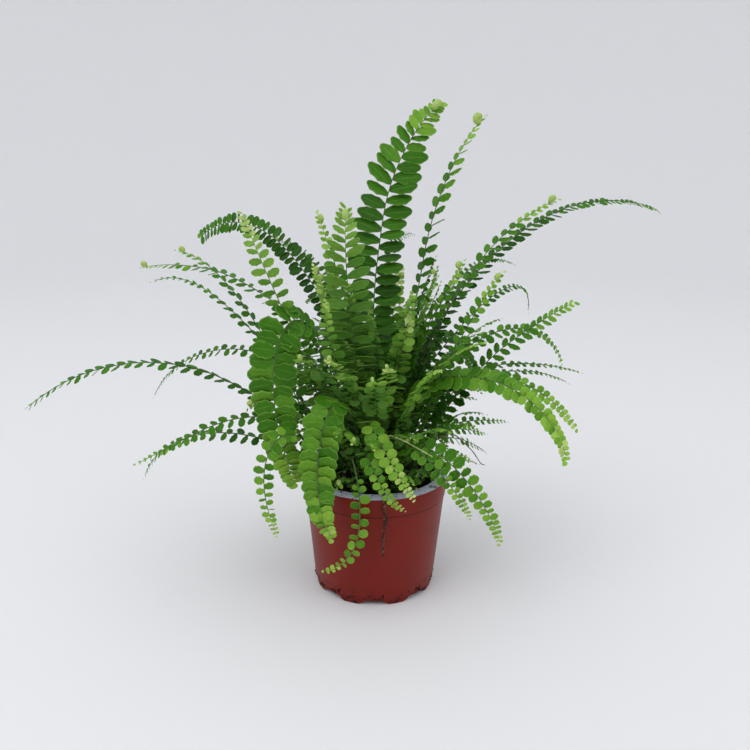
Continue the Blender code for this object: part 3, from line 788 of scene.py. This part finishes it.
leafHabit = {
    "sweep": 0.8,
    "droop": 0.12,
    "shingle": 0.16,
    "jitter": 0.18,
    "twist": 0.42,
    "level": 0.30,
}

# crowded leaflets in the heart lie every way
crowdedHabit = {**leafHabit, "jitter": 0.34, "twist": 0.75}


def buildFrond(name, guides, length, width, spacing, seed, habit=leafHabit):
    inputs = {
        "Leaflet Left": leafletLeft,
        "Leaflet Right": leafletRight,
        "Length": length * mm,
        "Width": width * mm,
        "Stagger": spacing * 0.45 * mm,
        "Seed": seed,
        "Blade": fernBlade,
        "Stipe": fernStipe,
    }
    for key in ("sweep", "droop", "shingle", "jitter", "twist"):
        inputs[key.title()] = habit[key]
    return bakeGroup(guideObject(name, guides), name, frondBuilder, inputs)


slots = {entry["node"]: entry["material_slot"] for entry in frame["record"]["subparts"]}


def addVisibleFronds():
    for index, (name, row) in enumerate(fronds.items()):
        heading, foot, first, second, tip, turn, length, width, spacing, tone, bud = row
        bare, tipSize, sweep = (given.get(name, given["usual"])
                                for given in (bareShares, tipSizes, sweeps))
        guide = frondGuide(heading, foot, (first, second, tip), turn, leafHabit["level"], spacing,
                           tone, bud, bare, tipSize, sweep)
        piece = buildFrond("leafy_" + name, [guide], length, width, spacing, 100 + index * 7)
        hand(piece, slots["frond_" + name], "frond_" + name)


def addBackFronds():
    chance = random.Random(backFronds["seed"])
    count = backFronds["count"]
    for index in range(count):
        foot, first, second, tip, length = backFronds["habits"][index % len(backFronds["habits"])]
        share = index / (count - 1)
        span = backFronds["lastHeading"] - backFronds["firstHeading"]
        heading = backFronds["firstHeading"] + span * share
        stretch = chance.uniform(0.9, 1.1)
        bends = [(out * stretch, chance.uniform(-6, 6), up) for out, _, up in (first, second, tip)]
        turn = chance.uniform(-20, 20)
        bud = 2.1 if index % 5 == 2 else 0
        spacing = backFronds["spacing"]
        tone = 0.16 + 0.2 * (index * 0.37 % 1)
        guide = frondGuide(heading, foot, bends, turn, leafHabit["level"], spacing, tone, bud,
                           bareShares["usual"], tipSizes["usual"], sweeps["usual"])
        node = f"frond_back_{index + 1:02d}"
        piece = buildFrond(f"leafy_back_{index + 1:02d}", [guide], length, length * 0.64, spacing,
                           500 + index * 7)
        hand(piece, slots[node], node)


def addInnerFronds():
    # grouped into a few pieces, because the plant's own solids are at their limit
    chance = random.Random(innerFronds["seed"])
    count = innerFronds["count"]
    rings = innerFronds["rings"]
    ground = soilSizes["flatHeight"]
    guides = [[] for _ in range(innerFronds["groups"])]
    for index in range(count):
        foot, first, second, tip, _ = rings[index * len(rings) // count]
        heading = index * 137.5 + chance.uniform(-8, 8)
        stretch = chance.uniform(0.85, 1.2)
        rise = stretch * chance.uniform(0.9, 1.1)
        bends = [(out * stretch, chance.uniform(-8, 8), ground + (up - ground) * rise)
                 for out, _, up in (first, second, tip)]
        turn = chance.uniform(-35, 35)
        bud = chance.uniform(1.6, 2.2) if chance.random() < 0.3 else 0
        tone = chance.uniform(0.12, 0.50)
        radius = foot * chance.uniform(0.85, 1.1)
        group = guides[index * innerFronds["groups"] // count]
        level = chance.uniform(0.0, 0.6)
        group.append(frondGuide(heading, radius, bends, turn, level, innerFronds["spacing"], tone,
                                bud, bareShares["inner"], tipSizes["usual"], sweeps["usual"]))
    for index, group in enumerate(guides):
        length = rings[index * len(rings) // innerFronds["groups"]][4]
        piece = buildFrond(f"leafy_inner_{index + 1}", group, length, length * 0.74, 5.0,
                           900 + index * 7, crowdedHabit)
        hand(piece, "leaf_mid")


addVisibleFronds()
addBackFronds()
addInnerFronds()
bpy.data.objects.remove(leafletLeft, do_unlink=True)
bpy.data.objects.remove(leafletRight, do_unlink=True)
print("fronds grown:", len(fronds) + backFronds["count"] + innerFronds["count"])


potLook = {
    "outside": "#801D10",
    "outsideDark": "#6C190E",
    "inside": "#C0C6D8",
    # the soil-dust colour also paints the shade line under the collar
    "dustAndCreaseShade": "#1C140F",
    "roughness": 0.42,
    "segments": 144,
    "sharpAngle": 40,           # degrees; flatter edges are shaded smooth
}


def dirtMask(tree, place, scale, low, high):
    # patches of dried mix: noise cut hard, in millimetre-sized spots
    spots = addNode(tree, "ShaderNodeTexNoise", None,
                    {"Vector": place, "Scale": scale, "Detail": 4.0, "Roughness": 0.65})
    return addNode(tree, "ShaderNodeMapRange", {"interpolation_type": "SMOOTHSTEP"},
                   {"Value": spots.outputs["Fac"], "From Min": low, "From Max": high}).outputs[0]


def potOutsideMaterial():
    # thermoformed polypropylene, red-brown: satin, with faint flow mottling and splashes of mix, plus a thin
    # line of painted shade under the collar
    material, tree, shader = newMaterial("polypropyleneTerracotta")
    place = addNode(tree, "ShaderNodeTexCoord").outputs["Object"]
    mottle = addNode(tree, "ShaderNodeTexNoise", None,
                     {"Vector": place, "Scale": 60.0, "Detail": 4.0}).outputs["Fac"]
    plain = addNode(tree, "ShaderNodeMix", {"data_type": "RGBA"},
                    {"Factor": mottle, 6: toLinear(potLook["outsideDark"]),
                     7: toLinear(potLook["outside"])}).outputs[2]
    height = addNode(tree, "ShaderNodeSeparateXYZ", None, {0: place}).outputs["Z"]
    lowPart = addNode(tree, "ShaderNodeMapRange", {"interpolation_type": "SMOOTHSTEP"},
                      {"Value": height, "From Min": 0.012, "From Max": 0.001}).outputs[0]
    smear = dirtMask(tree, place, 190.0, 0.50, 0.62)
    lowDirt = addNode(tree, "ShaderNodeMath", {"operation": "MULTIPLY"},
                      {0: lowPart, 1: smear}).outputs[0]
    specks = dirtMask(tree, place, 520.0, 0.70, 0.74)
    # painted shade: the crease under the collar gets a thin dark line in the soil-dust colour where the
    # step's shadow falls
    creaseHeight = (potSizes["height"] - potSizes["collarDepth"] - 0.2) * mm
    creaseShadeBand = addNode(tree, "ShaderNodeMath", {"operation": "COMPARE"},
                         {0: height, 1: creaseHeight, 2: 0.36 * mm}).outputs[0]
    paintedCreaseShade = addNode(tree, "ShaderNodeMath", {"operation": "MULTIPLY"},
                     {0: creaseShadeBand, 1: 0.9}).outputs[0]
    # the darkening joins the real dirt (low smears and specks of mix) with the painted crease shade
    darkening = lowDirt
    for layer in (specks, paintedCreaseShade):
        darkening = addNode(tree, "ShaderNodeMath", {"operation": "MAXIMUM"}, {0: darkening, 1: layer}).outputs[0]
    share = addNode(tree, "ShaderNodeMath", {"operation": "MULTIPLY"}, {0: darkening, 1: 0.85}).outputs[0]
    dirtiedAndShaded = addNode(tree, "ShaderNodeMix", {"data_type": "RGBA"},
                    {"Factor": share, 6: plain, 7: toLinear(potLook["dustAndCreaseShade"])}).outputs[2]
    rough = addNode(tree, "ShaderNodeMath", {"operation": "MULTIPLY_ADD"},
                    {0: share, 1: 0.45, 2: potLook["roughness"]}).outputs[0]
    fine = addNode(tree, "ShaderNodeTexNoise", None,
                   {"Vector": place, "Scale": 900.0, "Detail": 3.0}).outputs["Fac"]
    bump = addNode(tree, "ShaderNodeBump", None,
                   {"Strength": 0.12, "Distance": 0.0002, "Height": fine}).outputs["Normal"]
    setInputs(tree, shader, {"Base Color": dirtiedAndShaded, "Roughness": rough, "Normal": bump, "IOR": 1.49,
                             "Specular IOR Level": 0.2})
    return material


def potInsideMaterial():
    # the same sheet's inner layer, blue-grey, smeared with mix where it has been watered
    material, tree, shader = newMaterial("polypropyleneGrey")
    place = addNode(tree, "ShaderNodeTexCoord").outputs["Object"]
    smear = dirtMask(tree, place, 150.0, 0.56, 0.66)
    specks = dirtMask(tree, place, 600.0, 0.62, 0.66)
    darkening = addNode(tree, "ShaderNodeMath", {"operation": "MAXIMUM"}, {0: smear, 1: specks}).outputs[0]
    share = addNode(tree, "ShaderNodeMath", {"operation": "MULTIPLY"}, {0: darkening, 1: 0.8}).outputs[0]
    mixed = addNode(tree, "ShaderNodeMix", {"data_type": "RGBA"},
                    {"Factor": share, 6: toLinear(potLook["inside"]),
                     7: toLinear(potLook["dustAndCreaseShade"])}).outputs[2]
    rough = addNode(tree, "ShaderNodeMath", {"operation": "MULTIPLY_ADD"},
                    {0: share, 1: 0.4, 2: 0.36}).outputs[0]
    setInputs(tree, shader, {"Base Color": mixed, "Roughness": rough, "IOR": 1.49})
    return material


def wallRadius(height):
    base = potSizes["baseRadius"]
    return base + (potSizes["rimRadius"] - potSizes["collarStep"] - base) * height / potSizes["height"]


def footLift(angle):
    swing = math.cos(potSizes["footCount"] * (angle + math.radians(90)))
    return potSizes["footHeight"] * min(1.0, max(0.0, 0.5 + potSizes["footSteepness"] * swing))


def roundedCorner(before, corner, after, radius):
    # replaces a corner of the section by a short arc
    count = potSizes["cornerPoints"]
    a = (Vector(before) - Vector(corner)).normalized() * radius + Vector(corner)
    b = (Vector(after) - Vector(corner)).normalized() * radius + Vector(corner)
    points = []
    for step in range(count):
        t = step / (count - 1)
        points.append(a * (1 - t) ** 2 + Vector(corner) * 2 * t * (1 - t) + b * t * t)
    return points


def potSection(angle):
    p = potSizes
    lift = footLift(angle)
    collarLow = p["height"] - p["collarDepth"]
    lipInner = p["rimRadius"] - p["lipWidth"]
    lipTop = p["height"] + p["lipRise"]
    sheet = p["sheet"]
    # each corner of the section, with the radius that rounds it
    corners = (
        ((p["padRadius"], 0.0), 0.5),
        ((p["padRadius"] + p["padSlope"], p["footHeight"]), 0.5),
        ((p["footRingInner"] - p["footRingSlope"], p["footHeight"]), 0.4),
        ((p["footRingInner"], lift), 0.3),
        ((p["baseRadius"] - p["hemInset"], lift), 0.5),
        ((p["baseRadius"] - p["hemInset"], p["hemHeight"]), 0.15),
        ((wallRadius(p["hemHeight"]), p["hemHeight"] + p["hemSlope"]), 0.15),
        ((wallRadius(collarLow), collarLow - p["collarSlope"]), 0.12),
        ((wallRadius(collarLow) + p["collarStep"], collarLow), 0.15),
        ((p["rimRadius"], p["height"] - p["rimDrop"]), 0.35),
        ((lipInner, lipTop), 0.4),
        ((lipInner, lipTop - sheet), 0.3),
        ((p["rimRadius"] - sheet, p["height"] - sheet - p["rimDrop"]), 0.5),
        ((wallRadius(collarLow) + p["collarStep"] - sheet, collarLow + sheet), 0.3),
        ((wallRadius(collarLow) - sheet, collarLow), 0.3),
        ((wallRadius(p["hemHeight"]) - sheet, p["hemHeight"] + sheet), 0.4),
        ((p["footRingInner"] + 2 * sheet, p["footHeight"] + sheet), 0.4),
        ((p["padRadius"] + p["padSlope"], p["footHeight"] + sheet), 0.4),
        ((p["padRadius"], sheet), 0.4),
    )
    points = []
    places = [place for place, _ in corners]
    for index, (place, radius) in enumerate(corners):
        before = places[index - 1] if index else (0.0, place[1])
        after = places[index + 1] if index + 1 < len(places) else (0.0, place[1])
        points += roundedCorner((*before, 0), (*place, 0), (*after, 0), radius)
    return points


def addPot(outside, inside):
    segments = potLook["segments"]
    sections = [potSection(math.tau * index / segments) for index in range(segments)]
    steps = len(sections[0])
    points = []
    for index, section in enumerate(sections):
        angle = math.tau * index / segments
        for place in section:
            # the thin wall is never quite round
            lean = math.sin(2 * angle + 0.6) * min(1.0, place.y / potSizes["height"])
            radius = place.x * (1 + potSizes["outOfRound"] * lean)
            points.append(Vector((*onCircle(radius, angle), place.y)) * mm)
    under, floor = len(points), len(points) + 1
    points += [Vector((0, 0, 0)), Vector((0, 0, potSizes["sheet"])) * mm]
    faces = []
    for index in range(segments):
        here, there = index * steps, (index + 1) % segments * steps
        faces += [(here + step, there + step, there + step + 1, here + step + 1)
                  for step in range(steps - 1)]
    for index in range(segments):
        here, there = index * steps, (index + 1) % segments * steps
        faces.append((under, there, here))
        faces.append((floor, here + steps - 1, there + steps - 1))
    mesh = meshFrom("nurseryPot", points, faces, (outside, inside))
    turnOutward(mesh)
    # the lip's top and everything inside show the grey layer; the rim's rounded edge is the border
    lipStart = (potSizes["rimCorner"] + 1) * potSizes["cornerPoints"] - 1
    for face in mesh.polygons:
        stepsHere = [vertex % steps for vertex in face.vertices if vertex < under]
        face.material_index = int(min(stepsHere) >= lipStart)
    pot = addObject("nurseryPotRaw", mesh)
    cutter = drainPins()
    holes = pot.modifiers.new("drainage", "BOOLEAN")
    holes.operation = "DIFFERENCE"
    holes.object = cutter
    pot = bakeModifiers(pot, "nurseryPot")
    bpy.data.objects.remove(cutter, do_unlink=True)
    pot.data.set_sharp_from_angle(angle=math.radians(potLook["sharpAngle"]))
    return hand(pot, "pot_plastic", "nursery_pot")


def drainPins():
    builder = bmesh.new()
    for index in range(potSizes["footCount"]):
        angle = math.tau * (index + 0.5) / potSizes["footCount"]
        pin = bmesh.ops.create_cone(builder, cap_ends=True, segments=24,
                                    radius1=potSizes["drainRadius"] * mm,
                                    radius2=potSizes["drainRadius"] * mm,
                                    depth=potSizes["drainPinLength"] * mm)
        place = Vector((math.cos(angle), math.sin(angle), 0)) * potSizes["drainCircle"]
        place.z = potSizes["footHeight"] + potSizes["sheet"] / 2
        bmesh.ops.translate(builder, verts=pin["verts"], vec=place * mm)
    mesh = bpy.data.meshes.new("drainPins")
    builder.to_mesh(mesh)
    builder.free()
    return addObject("drainPins", mesh)


addPot(potOutsideMaterial(), potInsideMaterial())
print("pot made")


soilLook = {
    "peat": "#120D0A",
    "crumb": "#2A1E16",
    "fibre": "#5A4430",
    "rhizome": "#1E150D",
    "rhizomeScale": "#4A3421",
    "roughness": 0.92,
    "sheen": 0.25,
    "seed": 5,
    "spilled": 150,
    # how many, how far out, how high above the surface, and how large
    "crumbs": (900, 39.5, (-0.2, 0.5), (0.35, 1.1)),
    "fibres": (160, 37, (0.1, 0.8), (0.16, 0.34)),
}

# meshes of the mix and the crown
soilMesh = {
    "rings": 34,
    "segments": 120,
    "centre": 0.01,             # radius of the innermost ring
    "bottomRadius": 31.8,
    "lowRise": 2.0,             # from the hem up to the side's lower ring
    "sideDrop": 1.0,            # from the collar down to its upper ring
    "rough": 0.9,
    "sink": 0.2,
    "crownRings": 16,
    "crownSegments": 72,
    "crownRough": 0.7,
}


def soilMaterial(name, dark, light, scale):
    # moist peat and bark: near black, matt, with paler crumbs about a millimetre across
    material, tree, shader = newMaterial(name)
    place = addNode(tree, "ShaderNodeTexCoord").outputs["Object"]
    grain = addNode(tree, "ShaderNodeTexVoronoi", None,
                    {"Vector": place, "Scale": scale}).outputs["Distance"]
    blotch = addNode(tree, "ShaderNodeTexNoise", None,
                     {"Vector": place, "Scale": scale * 0.6, "Detail": 5.0}).outputs["Fac"]
    share = addNode(tree, "ShaderNodeMapRange", {"interpolation_type": "SMOOTHSTEP"},
                    {"Value": blotch, "From Min": 0.42, "From Max": 0.72}).outputs[0]
    mixed = addNode(tree, "ShaderNodeMix", {"data_type": "RGBA"},
                    {"Factor": share, 6: toLinear(dark), 7: toLinear(light)}).outputs[2]
    bump = addNode(tree, "ShaderNodeBump", None,
                   {"Strength": 0.8, "Distance": 0.0008, "Height": grain}).outputs["Normal"]
    setInputs(tree, shader, {"Base Color": mixed, "Normal": bump, "Roughness": soilLook["roughness"],
                             "Specular IOR Level": soilLook["sheen"]})
    return material


def lumpMesh(name, stretch, seed, material):
    # a low-poly crumb
    builder = bmesh.new()
    bmesh.ops.create_icosphere(builder, subdivisions=1, radius=1.0)
    for vertex in builder.verts:
        push = 1 + 0.45 * noise.noise(vertex.co * 1.3 + Vector((seed, 0, 0)))
        vertex.co = Vector((vertex.co.x * stretch, vertex.co.y, vertex.co.z * 0.8)) * push
    mesh = bpy.data.meshes.new(name)
    builder.to_mesh(mesh)
    builder.free()
    mesh.shade_smooth()
    mesh.materials.append(material)
    item = addObject(name, mesh)
    item.hide_render = True
    return item


def scatterTree():
    # puts one object on every point, turned at random and sized by the point
    tree, given = newGroup("crumbScatter", (("Crumb", "Object"), ("Seed", "Int"),
                                            ("Material", "Material")))
    size = addNode(tree, "GeometryNodeInputNamedAttribute", {"data_type": "FLOAT"},
                   {"Name": "size"}).outputs["Attribute"]
    turn = addNode(tree, "FunctionNodeRandomValue", {"data_type": "FLOAT_VECTOR"},
                   {0: (0, 0, 0), 1: (6.28, 6.28, 6.28), "Seed": given["Seed"]}).outputs[0]
    crumb = addNode(tree, "GeometryNodeObjectInfo", None,
                    {"Object": given["Crumb"]}).outputs["Geometry"]
    placed = addNode(tree, "GeometryNodeInstanceOnPoints", None,
                     {"Points": given["Geometry"], "Instance": crumb, "Rotation": turn,
                      "Scale": size}).outputs[0]
    real = addNode(tree, "GeometryNodeRealizeInstances", None, {"Geometry": placed}).outputs[0]
    done = addNode(tree, "GeometryNodeSetMaterial", None,
                   {"Geometry": real, "Material": given["Material"]}).outputs[0]
    addNode(tree, "NodeGroupOutput", None, {0: done})
    return tree


crumbScatter = scatterTree()


def scatter(name, places, crumb, material, seed):
    # places are (point in millimetres, size in millimetres)
    mesh = bpy.data.meshes.new(name)
    mesh.from_pydata([tuple(point * mm) for point, _ in places], [], [])
    addLayer(mesh, "size", [size * mm for _, size in places])
    inputs = {"Crumb": crumb, "Seed": seed, "Material": material}
    return bakeGroup(addObject(name + "_points", mesh), name, crumbScatter, inputs)


def placesOnTop(chance, count, reach, lift, size):
    places = []
    for _ in range(count):
        radius = reach * math.sqrt(chance.random())
        x, y = onCircle(radius, chance.uniform(0, math.tau))
        height = topHeight(x, y) + chance.uniform(*lift)
        places.append((Vector((x, y, height)), chance.uniform(*size)))
    return places


def addSoil(peat, crumbMaterial):
    p = potSizes
    shape = soilMesh
    clearance = soilSizes["gap"]
    bottom = p["footHeight"] + p["sheet"] + clearance
    sideTop = p["height"] - p["collarDepth"] - shape["sideDrop"]
    edge = wallRadius(sideTop) - p["sheet"] - clearance
    lowRadius = wallRadius(p["hemHeight"] + p["sheet"]) - p["sheet"] - clearance
    below = ((shape["centre"], bottom), (shape["bottomRadius"], bottom),
             (lowRadius, p["hemHeight"] + shape["lowRise"]), (edge, sideTop))
    rings, segments = shape["rings"], shape["segments"]
    angles = [math.tau * index / segments for index in range(segments)]
    points = []
    for radius, height in below:
        points += [Vector((*onCircle(radius, angle), height)) * mm for angle in angles]
    for ring in range(rings):
        radius = edge * (1 - ring / rings) + shape["centre"]
        for angle in angles:
            x, y = onCircle(radius, angle)
            rough = shape["rough"] * noise.fractal(Vector((x, y, 3)) * 0.45, 0.8, 2.1, 4)
            points.append(Vector((x, y, soilHeight(x, y) + rough - shape["sink"])) * mm)
    faces = closedRings(len(below) + rings, segments)
    mesh = meshFrom("pottingMix", points, faces, (peat,))
    turnOutward(mesh)
    hand(addObject("pottingMix", mesh), "potting_mix", "potting_mix")
    chance = random.Random(soilLook["seed"])
    crumb = lumpMesh("crumb", 1.25, 1, crumbMaterial)
    places = placesOnTop(chance, *soilLook["crumbs"])
    hand(scatter("soilCrumbs", places, crumb, crumbMaterial, 3), "potting_mix")
    fibre = lumpMesh("fibre", 9.0, 4, crumbMaterial)
    fibreMaterial = soilMaterial("coirFibre", soilLook["crumb"], soilLook["fibre"], 900.0)
    places = placesOnTop(chance, *soilLook["fibres"])
    hand(scatter("soilFibres", places, fibre, fibreMaterial, 8), "potting_mix")
    addSpilledCrumbs(chance, crumb, crumbMaterial)
    bpy.data.objects.remove(crumb, do_unlink=True)
    bpy.data.objects.remove(fibre, do_unlink=True)


def addSpilledCrumbs(chance, crumb, crumbMaterial):
    # specks stuck to the wall, thick along the hem, and a few on the lip
    places = []
    for index in range(soilLook["spilled"]):
        angle = chance.uniform(0, math.tau)
        if index % 5 == 0:
            height = chance.uniform(6, 50)
            radius = wallRadius(height)
            size = chance.uniform(0.12, 0.3)
        elif index % 5 == 1:
            radius = chance.uniform(37, 42)
            height = potSizes["height"] + potSizes["lipRise"] * (42 - radius) / 5.5 + 0.1
            size = chance.uniform(0.15, 0.4)
        else:
            height = potSizes["hemHeight"] + abs(chance.gauss(0, 1.6))
            radius = wallRadius(height)
            size = chance.uniform(0.2, 0.75)
        places.append((Vector((*onCircle(radius, angle), height)), size))
    hand(scatter("spilledCrumbs", places, crumb, crumbMaterial, 12), "potting_mix")


def addCrown(material):
    # the clump of scaly rhizomes: a lumpy dome
    rings, segments = soilMesh["crownRings"], soilMesh["crownSegments"]
    floor = soilSizes["flatHeight"] - 0.5
    points = []
    for ring in range(rings + 1):
        radius = soilSizes["crownRadius"] * math.sin(math.pi / 2 * (1 - ring / rings)) * 0.99 + 0.01
        for index in range(segments):
            x, y = onCircle(radius, math.tau * index / segments)
            rough = soilMesh["crownRough"] * noise.fractal(Vector((x, y, 1)) * 0.7, 0.9, 2.0, 3)
            points.append(Vector((x, y, max(crownHeight(x, y) + rough, floor))) * mm)
    mesh = meshFrom("rhizomeClump", points, closedRings(rings + 1, segments), (material,))
    turnOutward(mesh)
    hand(addObject("rhizomeClump", mesh), "rhizome", "crown")


moistPeat = soilMaterial("moistPeat", soilLook["peat"], soilLook["crumb"], 500.0)
barkCrumb = soilMaterial("barkCrumb", soilLook["peat"], soilLook["crumb"], 800.0)
scalyRhizome = soilMaterial("scalyRhizome", soilLook["rhizome"], soilLook["rhizomeScale"], 600.0)
addSoil(moistPeat, barkCrumb)
addCrown(scalyRhizome)
print("potting mix and crown made")


roots = {
    # points in millimetres, radius, hairs
    "hanging_root": (
        ((4, -27, 64), (4, -33, 67.4), (4, -36, 71), (4.5, -40.5, 70.7), (5, -44.6, 67.4),
         (5.5, -45.2, 59.4), (5, -45, 49.4), (4.5, -45.2, 36.4)),
        1.0, 46,
    ),
    "dry_stipe": (
        ((24, -10, 63.5), (28, -12, 80), (34, -13, 92.5), (43, -15, 97.5), (54, -15, 88.6),
         (60, -15, 80.4), (62.5, -15, 79)),
        0.45, 0,
    ),
    "runner": (
        ((4, -22, 63.5), (3.5, -23, 84), (6.3, -35, 102), (13, -39, 102.3), (20, -43, 100),
         (27.5, -47, 97), (30, -48.5, 96)),
        0.5, 0,
    ),
}

rootColours = {
    "hanging_root": ("#35231A", "#86614A"),
    "dry_stipe": ("#5E5348", "#A89A86"),
    "runner": ("#9AA06A", "#D6D5A8"),
}


rootHairs = {
    "seed": 31,
    "length": (2, 6.5),
    "radii": (0.16, 0.14, 0.12, 0.10, 0.07),
    "sag": 0.35,
}


def smoothPath(points, steps):
    path = []
    padded = [points[0]] + list(points) + [points[-1]]
    for p0, p1, p2, p3 in zip(padded, padded[1:], padded[2:], padded[3:]):
        for step in range(steps):
            t = step / steps
            path.append(0.5 * (2 * p1 + (p2 - p0) * t + (2 * p0 - 5 * p1 + 4 * p2 - p3) * t**2
                               + (3 * p1 - p0 - 3 * p2 + p3) * t**3))
    path.append(points[-1])
    return path


def tube(path, radii, sides, points, faces):
    # adds one closed tapering tube to the lists of points and faces
    start = len(points)
    side = Vector((0.31, 0.17, 0.93))
    for index, centre in enumerate(path):
        along = (path[min(len(path) - 1, index + 1)] - path[max(0, index - 1)]).normalized()
        side = (side - side.dot(along) * along).normalized()
        up = along.cross(side)
        for step in range(sides):
            angle = math.tau * step / sides
            reach = radii[index] * (1 + 0.25 * noise.noise(centre * 0.9 + side * step))
            points.append((centre + (side * math.cos(angle) + up * math.sin(angle)) * reach) * mm)
    faces += closedRings(len(path), sides, start)


def addRoots():
    chance = random.Random(rootHairs["seed"])
    radii = rootHairs["radii"]
    for name, (places, radius, hairs) in roots.items():
        dark, light = rootColours[name]
        material = soilMaterial("dry" + name.title().replace("_", ""), dark, light, 700.0)
        path = smoothPath([Vector(place) for place in places], 6)
        points, faces = [], []
        count = len(path)
        tube(path, [radius * (1 - 0.5 * i / count) for i in range(count)], 8, points, faces)
        for _ in range(hairs):
            index = chance.randrange(count // 2, count)
            heading = Vector((chance.uniform(-1, 1), chance.uniform(-0.6, 0.1), chance.uniform(-1, 0.1)))
            step = chance.uniform(*rootHairs["length"]) / (len(radii) - 1)
            hair = [path[index] + heading.normalized() * radius * 0.3]
            while len(hair) < len(radii):
                heading += Vector((chance.uniform(-0.5, 0.5), 0, -rootHairs["sag"]))
                hair.append(hair[-1] + heading.normalized() * step)
            tube(hair, radii, 4, points, faces)
        mesh = meshFrom("piece_" + name, points, faces, (material,))
        turnOutward(mesh)
        hand(addObject("piece_" + name, mesh), "root", name)


addRoots()
print("roots made")


stageLook = {
    "floor": "#E3E3E4",
    "flat": 1.5,                # metres
    "curve": 1.2,
    "wall": 2.4,
    "world": "#F4F6FA",
    "worldStrength": 1.16,
    "keyPower": 5.0,
    "fillPower": 1.5,
}

cameraPlace = {
    "distance": 452.6,          # level distance from the pot's axis
    "height": 245.5,            # above the floor
    "down": 14.604,             # degrees
    "left": 0.119,
    "roll": 0.693,
    "lens": 38.98,
}


def addStage():
    # a plain pale floor that curves up into a round backdrop, so no horizon line shows
    paint, tree, shader = newMaterial("palePaint")
    shader.inputs["Base Color"].default_value = toLinear(stageLook["floor"])
    shader.inputs["Roughness"].default_value = 0.8
    section = [(stageLook["flat"], 0.0)]
    for step in range(1, 13):
        angle = math.pi / 2 * step / 12
        section.append((stageLook["flat"] + stageLook["curve"] * math.sin(angle),
                        stageLook["curve"] * (1 - math.cos(angle))))
    section.append((stageLook["flat"] + stageLook["curve"], stageLook["wall"]))
    sides = 96
    points = [(0, 0, 0)]
    for radius, height in section:
        points += [(*onCircle(radius, math.tau * index / sides), height) for index in range(sides)]
    faces = [(0, 1 + index, 1 + (index + 1) % sides) for index in range(sides)]
    for ring in range(len(section) - 1):
        for index in range(sides):
            a, b = 1 + ring * sides + index, 1 + ring * sides + (index + 1) % sides
            faces.append((a, a + sides, b + sides, b))
    floor = addObject("floor", meshFrom("floor", points, faces, (paint,)))
    world = bpy.data.worlds.new("studio")
    world.use_nodes = True
    background = world.node_tree.nodes["Background"]
    background.inputs["Color"].default_value = toLinear(stageLook["world"])
    background.inputs["Strength"].default_value = stageLook["worldStrength"]
    bpy.context.scene.world = world
    bpy.context.scene.view_settings.view_transform = "Standard"


def addLight(name, place, target, size, power):
    light = bpy.data.lights.new(name, "AREA")
    light.size = size
    light.energy = power
    lamp = bpy.data.objects.new(name, light)
    bpy.context.scene.collection.objects.link(lamp)
    lamp.location = place
    lamp.rotation_euler = (Vector(target) - Vector(place)).to_track_quat("-Z", "Y").to_euler()


def addCamera():
    down = math.radians(cameraPlace["down"])
    left = math.radians(cameraPlace["left"])
    roll = math.radians(cameraPlace["roll"])
    ahead = Vector((-math.sin(left) * math.cos(down), math.cos(left) * math.cos(down), -math.sin(down)))
    right = Vector((math.cos(left), math.sin(left), 0))
    up = right.cross(ahead)
    rolledRight = right * math.cos(roll) + up * math.sin(roll)
    rolledUp = up * math.cos(roll) - right * math.sin(roll)
    lens = bpy.data.cameras.new("camera")
    lens.lens = cameraPlace["lens"]
    lens.sensor_width = 36.0
    lens.clip_start = 0.01
    camera = bpy.data.objects.new("camera", lens)
    bpy.context.scene.collection.objects.link(camera)
    turn = Matrix((rolledRight, rolledUp, -ahead)).transposed()
    camera.matrix_world = Matrix.Translation(
        Vector((0, -cameraPlace["distance"], cameraPlace["height"])) * mm) @ turn.to_4x4()
    bpy.context.scene.camera = camera


addStage()
addLight("key", (-0.7, -0.7, 1.1), (0, 0, 0.15), 0.9, stageLook["keyPower"])
addLight("fill", (0.9, -0.5, 0.6), (0, 0, 0.12), 1.0, stageLook["fillPower"])
addCamera()
print("stage, lights and camera set")
